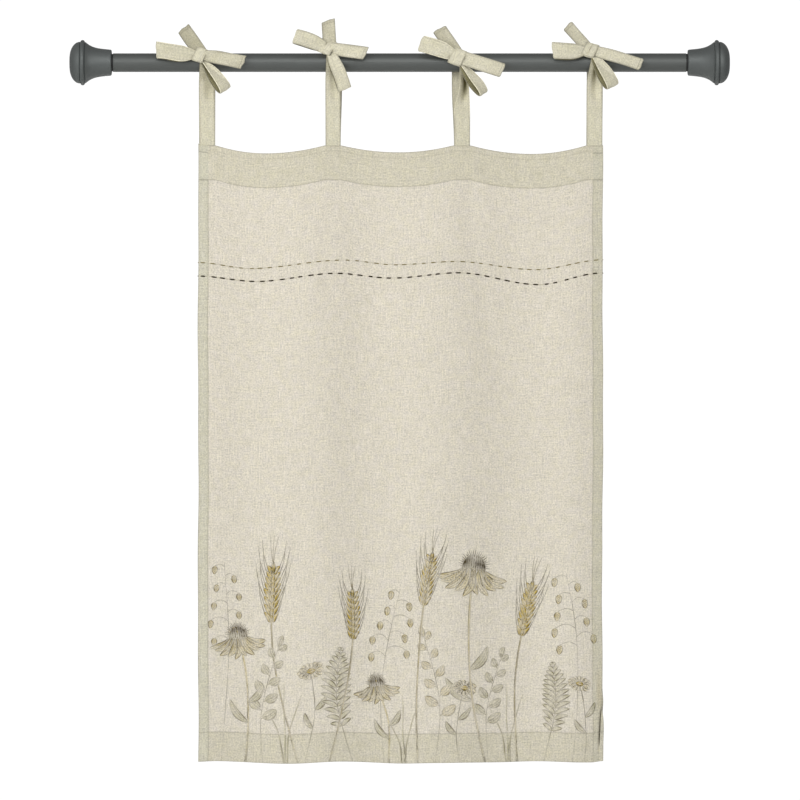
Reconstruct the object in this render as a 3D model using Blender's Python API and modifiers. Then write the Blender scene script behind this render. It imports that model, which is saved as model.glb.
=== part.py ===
"""Linen cafe curtain, tied with four bows to a round tension rod that has bell-shaped ends.

Row frame: metres, +Z up, +X along the rod from the left end to the right one, and -Y towards the viewer.
The origin is the middle of the flat on the rod's left end. The cloth is modelled as it hangs.
"""

import math
from collections import namedtuple

import bmesh
import bpy
from mathutils import Matrix, Vector

MM = 0.001
GAP = 0.3 * MM

# Rod: a painted tube between two turned ends, joined by a dark plug at each side
ROD_LENGTH = 990 * MM
TUBE_RADIUS = 14 * MM
TUBE_WALL = 1.2 * MM
TUBE_CHAMFER = 0.5 * MM
ROD_SEGMENTS = 40

# Bell end, with distances measured along the rod from its flat outer face
BELL_LENGTH = 63 * MM
BELL_FLAT_RADIUS = 8 * MM
BELL_DOME_DEPTH = 15.4 * MM
BELL_DOME_RADIUS = 31.2 * MM
BELL_DOME_STEPS = 6
BELL_BEAD_PLACE = 19.5 * MM
BELL_BEAD_RADIUS = 3.4 * MM
BELL_BEAD_CENTRE = 30.6 * MM
BELL_BEAD_SWEEP = (15, 165)
BELL_BEAD_STEPS = 5
BELL_MOUTH_RADIUS = 19.6 * MM
BELL_MOUTH_SLOPE = 3.4 * MM
BELL_FLARE = 7.8 * MM
BELL_FLARE_STEPS = 8
BELL_MOUTH_ROUNDING = 1.4 * MM
BELL_BORE_RADIUS = 9.3 * MM
BELL_BORE_DEPTH = 24 * MM
BELL_RECESS = 3 * MM

# Plug: a stub in the bell, a collar that shows as a dark ring, and a spigot in the tube
COLLAR_RADIUS = 13.2 * MM
COLLAR_SHOWS = 1.8 * MM
SPIGOT_LENGTH = 20 * MM

# Panel: one piece of cloth, turned under at all four sides
PANEL_LEFT = 192.7 * MM
PANEL_WIDTH = 607 * MM
PANEL_TOP = -124 * MM
PANEL_DROP = 925 * MM
CLOTH = 1.0 * MM
HEMMED_CLOTH = 1.8 * MM
SIDE_HEM = 15 * MM
HEADING = 53 * MM
BOTTOM_HEM = 44 * MM
HEM_STEP = 0.5 * MM
GROOVE_COLUMNS = (3 * MM, 5 * MM, 10 * MM)
COLUMN_STEP = 22 * MM
ROW_STEP = 50 * MM

# The sag of the top edge between ties fades out down the panel
SAG_REACH = 0.55
SAG_POWER = 2.0
BOTTOM_WAVE = 1.0 * MM
BOTTOM_WAVE_LENGTH = 390 * MM
HEADING_STIFFNESS = 0.35
HEADING_REACH = 0.12

# Ties: pairs of straps that meet in a bow in front of the rod
STRAP = 1.2 * MM
STRAP_GATHER = 14 * MM
GATHER_LENGTH = 50 * MM
STRAIGHT_STEPS = 7
FRONT_ARC_STEPS = 3
BACK_ARC_STEPS = 12
BACK_SHIFT_HEIGHT = 95 * MM
KNOT_DEPTH = 11 * MM
KNOT_ROUNDING = 4.5 * MM
KNOT_LEAN = 0.6
BACK_RADIUS = TUBE_RADIUS + GAP + STRAP / 2
FRONT_RADIUS = BACK_RADIUS + STRAP + GAP
KNOT_SEAT_RADIUS = FRONT_RADIUS + STRAP / 2 + 1.5 * GAP
LIMB_CLEARANCE = FRONT_RADIUS + STRAP + 3 * GAP
LIMB_ROOT = 5 * MM
LIMB_NECK_LENGTH = 16 * MM
LOOP_ROOT_GAP = 1.1 * MM
LIMB_CAMBER = 1.0 * MM
LOOP_STEPS = 16
TAIL_STEPS = 6

Bay = namedtuple("Bay", "start end lowest sag")
Fold = namedtuple("Fold", "top bottom half_width depth_top depth_bottom")
Tie = namedtuple(
    "Tie", "name left right gather_x back_shift knot_x knot_angle knot_width knot_height knot_tilt"
)
Limb = namedtuple("Limb", "tie kind tip_x tip_z tip_y width neck bulge lean curl slant")

# Top edge between the straps: where each bay starts and ends, its lowest place, and its sag there
BAYS = (
    Bay(219 * MM, 383 * MM, 0.46, 12.0 * MM),
    Bay(407 * MM, 576 * MM, 0.52, 10.5 * MM),
    Bay(601 * MM, 775 * MM, 0.53, 12.8 * MM),
)

# Soft folds: place at the top and at the bottom, half width, and depth at each, with - towards the viewer
FOLDS = (
    Fold(262 * MM, 266 * MM, 52 * MM, 4.5 * MM, 6.0 * MM),
    Fold(362 * MM, 372 * MM, 50 * MM, -6.0 * MM, -8.0 * MM),
    Fold(446 * MM, 462 * MM, 48 * MM, 5.5 * MM, 5.0 * MM),
    Fold(560 * MM, 566 * MM, 56 * MM, -6.5 * MM, -8.5 * MM),
    Fold(668 * MM, 680 * MM, 58 * MM, 6.5 * MM, 6.0 * MM),
    Fold(764 * MM, 756 * MM, 42 * MM, -5.0 * MM, -9.0 * MM),
)

# The lower right edge turns back and out again, which leaves a narrow groove beside the outer edge
GROOVE_FROM_EDGE = 6.5 * MM
GROOVE_HALF_WIDTH = 2.6 * MM
GROOVE_DEPTH = 4.2 * MM
GROOVE_MIDDLE = -1004 * MM
GROOVE_HALF_LENGTH = 44 * MM

# Each tie: the strap's edges at the heading, where its front gathers and how far its back lies to the side,
# then the knot's place along the rod and its angle above the rod's front, its width and height, and its tilt
TIES = (
    Tie("tie_1", 194.2 * MM, 218.5 * MM, 202.5 * MM, 1.0 * MM, 195.5 * MM, 26, 21 * MM, 24 * MM, 25),
    Tie("tie_2", 383.8 * MM, 406.5 * MM, 392.0 * MM, 2.0 * MM, 387.0 * MM, 56, 23 * MM, 26 * MM, 32),
    Tie("tie_3", 576.5 * MM, 600.5 * MM, 591.0 * MM, -6.0 * MM, 581.5 * MM, 18, 24 * MM, 28 * MM, 28),
    Tie("tie_4", 775.0 * MM, 799.0 * MM, 789.0 * MM, 1.0 * MM, 780.5 * MM, 47, 23 * MM, 25 * MM, 26),
)

# Each bow: two loops and two tails, by the place of the tip, the width there and at the knot, then bulge,
# lean in degrees, curl, and how far the end slants
LIMBS = (
    Limb("tie_1", "tail", 171 * MM, 52 * MM, -17 * MM, 21.5 * MM, 20 * MM, 0.0, 6, 1.5 * MM, 0.05),
    Limb("tie_1", "loop", 131 * MM, 19 * MM, -22 * MM, 24 * MM, 16 * MM, 3.4 * MM, -9, 1.0 * MM, 0.08),
    Limb("tie_1", "tail", 262 * MM, 0 * MM, -25 * MM, 20 * MM, 16 * MM, 0.0, -6, -2.0 * MM, -0.15),
    Limb("tie_1", "loop", 233 * MM, -43 * MM, -31 * MM, 22 * MM, 13 * MM, 4.6 * MM, -38, -3.0 * MM, 0.0),
    Limb("tie_2", "tail", 388 * MM, 63 * MM, -13 * MM, 20 * MM, 19 * MM, 0.0, 4, 2.0 * MM, 0.15),
    Limb("tie_2", "loop", 338 * MM, 39 * MM, -20 * MM, 23 * MM, 17 * MM, 2.4 * MM, 7, 1.5 * MM, 0.0),
    Limb("tie_2", "tail", 445 * MM, 15 * MM, -27 * MM, 19.5 * MM, 18 * MM, 0.0, 5, -1.5 * MM, -0.16),
    Limb("tie_2", "loop", 413 * MM, -40 * MM, -29 * MM, 21 * MM, 17 * MM, 2.6 * MM, -12, -3.0 * MM, 0.0),
    Limb("tie_3", "tail", 554 * MM, 50 * MM, -17 * MM, 22 * MM, 20 * MM, 0.0, 10, 1.5 * MM, -0.05),
    Limb("tie_3", "loop", 525 * MM, 30 * MM, -21 * MM, 25 * MM, 18 * MM, 3.6 * MM, -11, 2.0 * MM, 0.0),
    Limb("tie_3", "tail", 650 * MM, -12 * MM, -28 * MM, 22 * MM, 20 * MM, 0.0, -6, -1.5 * MM, -0.06),
    Limb("tie_3", "loop", 621 * MM, -47 * MM, -32 * MM, 22 * MM, 12 * MM, 4.8 * MM, -46, 4.0 * MM, 0.0),
    Limb("tie_4", "tail", 746 * MM, 56 * MM, -16 * MM, 18.5 * MM, 17 * MM, 0.0, 16, 1.0 * MM, 0.05),
    Limb("tie_4", "loop", 724 * MM, 19 * MM, -22 * MM, 24.5 * MM, 14 * MM, 3.0 * MM, 6, -1.0 * MM, 0.06),
    Limb("tie_4", "tail", 858 * MM, -3 * MM, -26 * MM, 18.5 * MM, 15 * MM, 0.0, -12, -3.0 * MM, -0.05),
    Limb("tie_4", "loop", 815 * MM, -35 * MM, -31 * MM, 24 * MM, 14 * MM, 5.0 * MM, -36, -1.0 * MM, 0.0),
)


def smooth_step(value):
    """A rise from 0 to 1 that starts and ends level."""
    value = min(1.0, max(0.0, value))
    return value * value * (3 - 2 * value)


def clear_scene():
    for obj in list(bpy.data.objects):
        bpy.data.objects.remove(obj)


def make_collection(name):
    collection = bpy.data.collections.new(name)
    bpy.context.scene.collection.children.link(collection)
    return collection


def make_material(name, colour, roughness, metallic=0.0):
    material = bpy.data.materials.new(name)
    material.use_nodes = True
    shader = material.node_tree.nodes["Principled BSDF"]
    shader.inputs["Base Color"].default_value = (*colour, 1.0)
    shader.inputs["Roughness"].default_value = roughness
    shader.inputs["Metallic"].default_value = metallic
    return material


def add_object(name, mesh, collection, material):
    obj = bpy.data.objects.new(name, mesh)
    mesh.materials.append(material)
    collection.objects.link(obj)
    return obj


def turned(name, profile, closed, collection, material):
    """A turned solid about its own Z axis, from a (radius, height) profile that runs down its outer side."""
    mesh = bpy.data.meshes.new(name)
    edges = [(i, i + 1) for i in range(len(profile) - 1)]
    if closed:
        edges.append((len(profile) - 1, 0))
    mesh.from_pydata([(radius, 0, height) for radius, height in profile], edges, [])
    obj = add_object(name, mesh, collection, material)
    screw = obj.modifiers.new("turn", "SCREW")
    screw.steps = screw.render_steps = ROD_SEGMENTS
    screw.use_merge_vertices = True
    screw.merge_threshold = 0.00001
    screw.use_smooth_shade = True
    obj.modifiers.new("shading", "WEIGHTED_NORMAL")
    return obj


def arc(centre_along, centre_radius, radius, first, last, steps):
    """Points of an arc in the bell's profile, as (distance from the outer face, distance from the axis)."""
    angles = [math.radians(first + (last - first) * i / steps) for i in range(steps + 1)]
    return [(centre_along - radius * math.cos(a), centre_radius + radius * math.sin(a)) for a in angles]


def bell_profile():
    """The bell's section, from its outer face to its bore, as (distance from that face, radius)."""
    points = [(0, 0)]
    for i in range(BELL_DOME_STEPS + 1):
        turn = math.pi / 2 * i / BELL_DOME_STEPS
        rise = (BELL_DOME_RADIUS - BELL_FLAT_RADIUS) * math.sin(turn)
        points.append((BELL_DOME_DEPTH * (1 - math.cos(turn)), BELL_FLAT_RADIUS + rise))
    points += arc(BELL_BEAD_PLACE, BELL_BEAD_CENTRE, BELL_BEAD_RADIUS, *BELL_BEAD_SWEEP, BELL_BEAD_STEPS)
    flare_start = BELL_BEAD_PLACE + BELL_BEAD_RADIUS + MM
    flare_length = BELL_LENGTH - BELL_MOUTH_ROUNDING - flare_start
    for i in range(BELL_FLARE_STEPS + 1):
        left = 1 - i / BELL_FLARE_STEPS
        radius = BELL_MOUTH_RADIUS + BELL_MOUTH_SLOPE * left + BELL_FLARE * left**4
        points.append((flare_start + flare_length * i / BELL_FLARE_STEPS, radius))
    points.append((BELL_LENGTH, BELL_MOUTH_RADIUS - BELL_MOUTH_ROUNDING))
    points.append((BELL_LENGTH, COLLAR_RADIUS + GAP))
    points.append((BELL_LENGTH - BELL_RECESS, COLLAR_RADIUS + GAP))
    points.append((BELL_LENGTH - BELL_RECESS, BELL_BORE_RADIUS))
    points.append((BELL_LENGTH - BELL_BORE_DEPTH, BELL_BORE_RADIUS))
    points.append((BELL_LENGTH - BELL_BORE_DEPTH, 0))
    return points


def plug_profile():
    """The plug's section from its stub in the bell to its spigot in the tube, measured like the bell's."""
    stub_radius = BELL_BORE_RADIUS - GAP
    spigot_radius = TUBE_RADIUS - TUBE_WALL - GAP
    stub_start = BELL_LENGTH - BELL_BORE_DEPTH + GAP
    collar_start = BELL_LENGTH - BELL_RECESS + GAP
    collar_end = BELL_LENGTH + COLLAR_SHOWS
    spigot_end = collar_end + SPIGOT_LENGTH
    return [
        (stub_start, 0),
        (stub_start, stub_radius),
        (collar_start, stub_radius),
        (collar_start, COLLAR_RADIUS),
        (collar_end, COLLAR_RADIUS),
        (collar_end, spigot_radius),
        (spigot_end, spigot_radius),
        (spigot_end, 0),
    ]


def build_rod(collection, paint, bell_paint, plug_plastic):
    """The tube, the two bells and the two plugs, each turned about the rod's axis."""
    tube_start = BELL_LENGTH + COLLAR_SHOWS + GAP
    half = ROD_LENGTH / 2 - tube_start
    inner = TUBE_RADIUS - TUBE_WALL
    rounded = TUBE_RADIUS - TUBE_CHAMFER
    tube_section = [
        (inner, half),
        (rounded, half),
        (TUBE_RADIUS, half - TUBE_CHAMFER),
        (TUBE_RADIUS, TUBE_CHAMFER - half),
        (rounded, -half),
        (inner, -half),
    ]
    tube = turned("rod_tube", tube_section, True, collection, paint)
    tube.location = (ROD_LENGTH / 2, 0, 0)
    tube.rotation_euler = (0, math.pi / 2, 0)
    for side, outwards, place in (("left", -1, 0.0), ("right", 1, ROD_LENGTH)):
        for piece, profile, material in (
            ("rod_end", bell_profile(), bell_paint),
            ("rod_plug", plug_profile(), plug_plastic),
        ):
            section = [(radius, -along) for along, radius in profile]
            obj = turned(f"{piece}_{side}", section, False, collection, material)
            obj.location = (place, 0, 0)
            obj.rotation_euler = (0, outwards * math.pi / 2, 0)


def top_sag(x):
    """How far the top edge hangs below the straps' feet, as two half parabolas in each bay."""
    for bay in BAYS:
        if bay.start < x < bay.end:
            share = (x - bay.start) / (bay.end - bay.start)
            side = bay.lowest if share < bay.lowest else 1 - bay.lowest
            return bay.sag * (1 - ((share - bay.lowest) / side) ** 2)
    return 0.0


def fold_depth(x, down):
    """How far the cloth lies behind the rod's axis, the sum of its soft folds."""
    stiff = 1 - (1 - HEADING_STIFFNESS) * math.exp(-((down / HEADING_REACH) ** 2))
    total = 0.0
    for fold in FOLDS:
        centre = fold.top + (fold.bottom - fold.top) * down
        depth = fold.depth_top + (fold.depth_bottom - fold.depth_top) * down
        total += depth * math.exp(-(((x - centre) / fold.half_width) ** 2))
    return total * stiff


def edge_groove(x, z):
    """The depth of the narrow groove beside the lower right edge."""
    across = (x - (PANEL_LEFT + PANEL_WIDTH - GROOVE_FROM_EDGE)) / GROOVE_HALF_WIDTH
    along = (z - GROOVE_MIDDLE) / GROOVE_HALF_LENGTH
    return GROOVE_DEPTH * math.exp(-(across**2) - along**2)


def panel_point(across, below):
    """A point of the panel's front, by its distance from the left edge and below the top edge, as cut."""
    down = below / PANEL_DROP
    x = PANEL_LEFT + across
    sag = top_sag(x) * math.exp(-((down / SAG_REACH) ** SAG_POWER))
    wave = BOTTOM_WAVE * down * math.sin(2 * math.pi * across / BOTTOM_WAVE_LENGTH)
    z = PANEL_TOP - below - sag + wave
    return Vector((x, fold_depth(x, down) + edge_groove(x, z), z))


def stations(length, start_hem, end_hem, step, extra=()):
    """Distances along one side of the panel: even steps, with a close pair where each hem ends."""
    inner_start = start_hem + HEM_STEP
    inner_end = length - end_hem - HEM_STEP
    count = round((inner_end - inner_start) / step)
    inner = [inner_start + (inner_end - inner_start) * i / count for i in range(count + 1)]
    edges = [0, start_hem / 2, start_hem, length - end_hem, length - end_hem / 2, length]
    return sorted([*edges, *inner, *extra])


def cloth_sheet(name, columns, rows, place, collection, material):
    """An open sheet with a point for each column and row station, put where place(column, row) says."""
    mesh = bpy.data.meshes.new(name)
    shape = bmesh.new()
    wide = len(columns) - 1
    deep = len(rows) - 1
    bmesh.ops.create_grid(shape, x_segments=wide, y_segments=deep, size=1)
    for vert in shape.verts:
        column = columns[round((vert.co.x + 1) / 2 * wide)]
        row = rows[round((1 - vert.co.y) / 2 * deep)]
        vert.co = place(column, row)
    shape.to_mesh(mesh)
    shape.free()
    mesh.shade_smooth()
    return add_object(name, mesh, collection, material)


def thicken(obj, thickness, offset=0.0):
    solidify = obj.modifiers.new("thickness", "SOLIDIFY")
    solidify.thickness = thickness
    solidify.offset = offset
    solidify.use_even_offset = True
    return solidify


def build_panel(collection, material):
    """The cloth, single in its middle and thicker in its hems, whose turned-in layer lies at the back."""
    groove_columns = [PANEL_WIDTH - from_edge for from_edge in GROOVE_COLUMNS]
    columns = stations(PANEL_WIDTH, SIDE_HEM, SIDE_HEM, COLUMN_STEP, groove_columns)
    rows = stations(PANEL_DROP, HEADING, BOTTOM_HEM, ROW_STEP)
    panel = cloth_sheet("panel", columns, rows, panel_point, collection, material)
    solidify = thicken(panel, HEMMED_CLOTH, offset=-1.0)
    hemmed = panel.vertex_groups.new(name="hems")
    solidify.vertex_group = hemmed.name
    solidify.thickness_vertex_group = CLOTH / HEMMED_CLOTH
    single_columns = (SIDE_HEM + HEM_STEP / 2, PANEL_WIDTH - SIDE_HEM - HEM_STEP / 2)
    single_rows = (HEADING + HEM_STEP / 2, PANEL_DROP - BOTTOM_HEM - HEM_STEP / 2)
    in_hems = []
    for row_index, row in enumerate(reversed(rows)):
        for column_index, column in enumerate(columns):
            single = single_columns[0] < column < single_columns[1] and single_rows[0] < row < single_rows[1]
            if not single:
                in_hems.append(row_index * len(columns) + column_index)
    hemmed.add(in_hems, 1.0, "REPLACE")


def strap_path(start, radius, way, end_angle, straight_steps, arc_steps):
    """A strap's line beside the rod as (y, z): straight up to the circle about the axis, then along it."""
    reach = math.hypot(*start)
    tangent = math.atan2(start[1], start[0]) + way * math.acos(radius / reach)
    foot = (radius * math.cos(tangent), radius * math.sin(tangent))
    points = []
    for i in range(straight_steps):
        share = i / straight_steps
        points.append((start[0] + (foot[0] - start[0]) * share, start[1] + (foot[1] - start[1]) * share))
    for i in range(arc_steps + 1):
        angle = tangent + (end_angle - tangent) * i / arc_steps
        points.append((radius * math.cos(angle), radius * math.sin(angle)))
    return points


def build_strap(name, tie, way, collection, material):
    """One leg of a tie, from the heading up to the back of its knot; way is -1 in front and 1 behind."""
    middle = (tie.left + tie.right) / 2
    width = tie.right - tie.left
    foot = panel_point(middle - PANEL_LEFT, 0)
    beside = HEMMED_CLOTH / 2 + way * (STRAP + GAP) / 2
    start = (foot.y + beside, foot.z + GAP)
    knot_angle = math.pi - math.radians(tie.knot_angle)
    if way < 0:
        path = strap_path(start, FRONT_RADIUS, way, knot_angle - 2 * math.pi, STRAIGHT_STEPS, FRONT_ARC_STEPS)
    else:
        path = strap_path(start, BACK_RADIUS, way, knot_angle, STRAIGHT_STEPS, BACK_ARC_STEPS)
    lengths = [0.0]
    for before, after in zip(path, path[1:]):
        lengths.append(lengths[-1] + math.dist(before, after))
    gather_x = tie.gather_x if way < 0 else tie.knot_x
    shift = tie.back_shift if way > 0 else 0.0

    def place(across, index):
        gathered = 1 - smooth_step((lengths[-1] - lengths[index]) / GATHER_LENGTH)
        here = width + (STRAP_GATHER - width) * gathered
        aside = shift * smooth_step(lengths[index] / BACK_SHIFT_HEIGHT) * (1 - gathered)
        centre = middle + (gather_x - middle) * gathered + aside
        y, z = path[index]
        return Vector((centre + across * here / 2, y, z))

    strap = cloth_sheet(name, (-1, 0, 1), range(len(path)), place, collection, material)
    thicken(strap, STRAP)


def knot_frame(tie):
    """The knot's centre, and how far it leans back to lie on the straps round the rod."""
    angle = math.radians(tie.knot_angle)
    lean = KNOT_LEAN * angle
    radius = KNOT_SEAT_RADIUS / math.cos(angle - lean) + KNOT_DEPTH / 2
    return Vector((tie.knot_x, -radius * math.cos(angle), radius * math.sin(angle))), lean


def build_knot(tie, collection, material):
    """The wrapped middle of a bow: a rounded block that lies flat against the straps."""
    mesh = bpy.data.meshes.new(tie.name + "_knot")
    shape = bmesh.new()
    bmesh.ops.create_cube(shape, size=1)
    bmesh.ops.scale(shape, vec=(tie.knot_width, KNOT_DEPTH, tie.knot_height), verts=shape.verts)
    centre, lean = knot_frame(tie)
    turned_to_rod = Matrix.Rotation(-lean, 4, "X") @ Matrix.Rotation(math.radians(tie.knot_tilt), 4, "Y")
    bmesh.ops.transform(shape, matrix=Matrix.Translation(centre) @ turned_to_rod, verts=shape.verts)
    shape.to_mesh(mesh)
    shape.free()
    knot = add_object(tie.name + "_bow", mesh, collection, material)
    bevel = knot.modifiers.new("rounding", "BEVEL")
    bevel.width = KNOT_ROUNDING
    bevel.segments = 2
    return knot


def push_off_rod(point):
    """How far a point moves to clear the straps round the rod and in front of its lower half."""
    above = max(point.z, 0.0)
    radius = math.hypot(point.y, above)
    if radius >= LIMB_CLEARANCE:
        return Vector((0, 0, 0))
    return Vector((0, point.y, above)) * (LIMB_CLEARANCE / radius - 1)


def limb_frame(tie, limb):
    """The start of a loop or tail in its knot, its length, and its along, width and face directions."""
    start = knot_frame(tie)[0]
    reach = Vector((limb.tip_x, limb.tip_y, limb.tip_z)) - start
    along = reach.normalized()
    flat = Vector((along.z, 0, -along.x)).normalized()
    wide = Matrix.Rotation(math.radians(limb.lean), 3, along) @ flat
    return start, reach.length, along, wide, along.cross(wide)


def build_limb(name, tie, limb, collection, material):
    """A loop, whose strap goes out and comes back round its tip, or a tail, whose strap ends at its tip."""
    start, length, along, wide, face = limb_frame(tie, limb)
    is_loop = limb.kind == "loop"
    steps = LOOP_STEPS if is_loop else TAIL_STEPS
    root = math.asin(LIMB_ROOT / length) / math.pi if is_loop else LIMB_ROOT / length

    def place(across, index):
        share = root + (1 - root * (2 if is_loop else 1)) * index / steps
        if is_loop:
            out = length * math.sin(math.pi * share)
            lift = limb.bulge * math.sin(2 * math.pi * share) + LOOP_ROOT_GAP * math.cos(math.pi * share)
        else:
            out = length * share
            lift = limb.curl * math.sin(math.pi * share)
        neck = math.exp(-((out / LIMB_NECK_LENGTH) ** 2))
        here = limb.width + (limb.neck - limb.width) * neck
        camber = LIMB_CAMBER * (1 - across**2) * (1 - neck) if not is_loop else 0.0
        bend = limb.curl * math.sin(math.pi * out / length) if is_loop else 0.0
        out += limb.slant * across * limb.width * (out / length) ** 2
        point = start + along * out + wide * (across * here / 2 + bend) + face * camber
        # The layer that lies nearer the rod settles how far both move
        return point + face * lift + push_off_rod(point + face * abs(lift))

    strip = cloth_sheet(name, (-1, 0, 1), range(steps + 1), place, collection, material)
    thicken(strip, STRAP)
    strip.hide_render = True
    strip.display_type = "WIRE"
    return strip


def build_bow(tie, collection, helpers, material):
    """The knot with its loops and tails joined to it, as one piece of cloth."""
    bow = build_knot(tie, collection, material)
    for number, limb in enumerate(limb for limb in LIMBS if limb.tie == tie.name):
        name = f"{tie.name}_{limb.kind}_{number}"
        join = bow.modifiers.new(name, "BOOLEAN")
        join.operation = "UNION"
        join.object = build_limb(name, tie, limb, helpers, material)


def main():
    clear_scene()
    curtain = make_collection("cafe_curtain")
    helpers = make_collection("bow_parts")
    linen = make_material("linen", (0.66, 0.61, 0.50), 0.9)
    tie_linen = make_material("tie_linen", (0.60, 0.56, 0.43), 0.9)
    paint = make_material("rod_paint", (0.105, 0.112, 0.112), 0.45, 0.3)
    bell_paint = make_material("bell_paint", (0.11, 0.115, 0.112), 0.5)
    plug_plastic = make_material("plug_plastic", (0.02, 0.02, 0.02), 0.6)
    build_rod(curtain, paint, bell_paint, plug_plastic)
    build_panel(curtain, linen)
    for tie in TIES:
        build_strap(tie.name + "_front", tie, -1, curtain, tie_linen)
        build_strap(tie.name + "_back", tie, 1, curtain, tie_linen)
        build_bow(tie, curtain, helpers, tie_linen)


main()
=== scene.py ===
"""The looks of a linen cafe curtain that is tied with four bows to a tension rod.

Row frame: metres, +Z up, +X along the rod from its left end, -Y towards the viewer, and the origin at the
middle of the flat on the rod's left end. All sizes are in millimetres until a mesh is made. A place on the
cloth is given as it was cut: across from its left edge, and below its top edge.
"""

import logging
import math
from dataclasses import dataclass, field
from enum import Enum

import bpy
import numpy as np
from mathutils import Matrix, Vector


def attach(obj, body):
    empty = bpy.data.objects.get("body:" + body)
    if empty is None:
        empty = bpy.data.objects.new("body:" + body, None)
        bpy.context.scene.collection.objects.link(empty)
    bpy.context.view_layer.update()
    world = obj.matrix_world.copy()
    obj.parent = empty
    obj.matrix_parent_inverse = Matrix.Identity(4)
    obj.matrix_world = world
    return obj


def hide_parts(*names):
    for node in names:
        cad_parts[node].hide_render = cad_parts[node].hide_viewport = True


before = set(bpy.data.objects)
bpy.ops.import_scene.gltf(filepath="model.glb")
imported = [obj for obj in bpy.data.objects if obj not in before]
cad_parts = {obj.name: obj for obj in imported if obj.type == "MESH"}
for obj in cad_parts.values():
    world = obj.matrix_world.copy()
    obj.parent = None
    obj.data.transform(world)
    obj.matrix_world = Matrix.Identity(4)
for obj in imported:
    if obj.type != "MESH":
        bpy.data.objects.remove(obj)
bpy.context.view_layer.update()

LOG = logging.getLogger("curtain")
Array = np.ndarray
Colour = tuple[float, float, float]
Material = bpy.types.Material
Piece = bpy.types.Object
Socket = bpy.types.NodeSocket
MM = 0.001
GAP = 0.3
BODY = "root"
FULL_TURN = 2 * math.pi
X_AXIS = np.array([1.0, 0.0, 0.0])
Y_AXIS = np.array([0.0, 1.0, 0.0])


def linear(red: float, green: float, blue: float) -> Colour:
    """The linear colour of a screen colour that is given from 0 to 255."""
    return tuple(((value / 255 + 0.055) / 1.055) ** 2.4 for value in (red, green, blue))


def blend(start: Array, end: Array, share: Array) -> Array:
    """The value a share of the way from start to end."""
    return start + (end - start) * share


def smooth_step(value: Array) -> Array:
    """A rise from 0 to 1 that starts and ends level: 3 v squared less 2 v cubed."""
    value = np.clip(value, 0.0, 1.0)
    return value * value * (3.0 - 2.0 * value)


def hump(value: Array) -> Array:
    """A soft hump of height 1 about 0: e to the power of minus the square."""
    return np.exp(-np.square(value))


def level_curve(places: Array, knots: tuple[float, ...], values: tuple[float, ...]) -> Array:
    """A line through given values, level at each, with a smooth step from each to the next.

    Args:
        places: Where the line is read.
        knots: Places of the given values, in rising order.
        values: The given values.

    Returns:
        The line's value at each place.
    """
    knots, values = np.array([knots, values], float)
    index = np.clip(np.searchsorted(knots, places) - 1, 0, len(knots) - 2)
    share = (places - knots[index]) / (knots[index + 1] - knots[index])
    return blend(values[index], values[index + 1], smooth_step(share))


def unit(vectors: Array) -> Array:
    """Vectors of length 1 with the same directions."""
    return vectors / np.maximum(np.linalg.norm(vectors, axis=-1, keepdims=True), 1e-9)


def turned_about(vectors: Array, axis: Array, angle: float) -> Array:
    """Vectors turned about an axis of length 1: the part along it kept, and the part across it turned."""
    along = np.sum(vectors * axis, axis=-1, keepdims=True) * axis
    return along + (vectors - along) * math.cos(angle) + np.cross(axis, vectors) * math.sin(angle)


def matched(first: Array, second: Array) -> list[Array]:
    """Two arrays as decimals of one shape."""
    return np.broadcast_arrays(np.asarray(first, float), np.asarray(second, float))


def run_length(line: Array) -> Array:
    """The length of a line up to each of its points."""
    return np.concatenate([[0], np.cumsum(np.linalg.norm(np.diff(line, axis=0), axis=1))])


def read_line(places: Array, lengths: Array, line: Array) -> Array:
    """The points of a line at given lengths along it."""
    return np.stack([np.interp(places, lengths, column) for column in line.T], axis=-1)


def placed(name: str, data: bpy.types.ID) -> Piece:
    """A new object in the scene, at the origin."""
    made = bpy.data.objects.new(name, data)
    bpy.context.scene.collection.objects.link(made)
    return made


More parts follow.
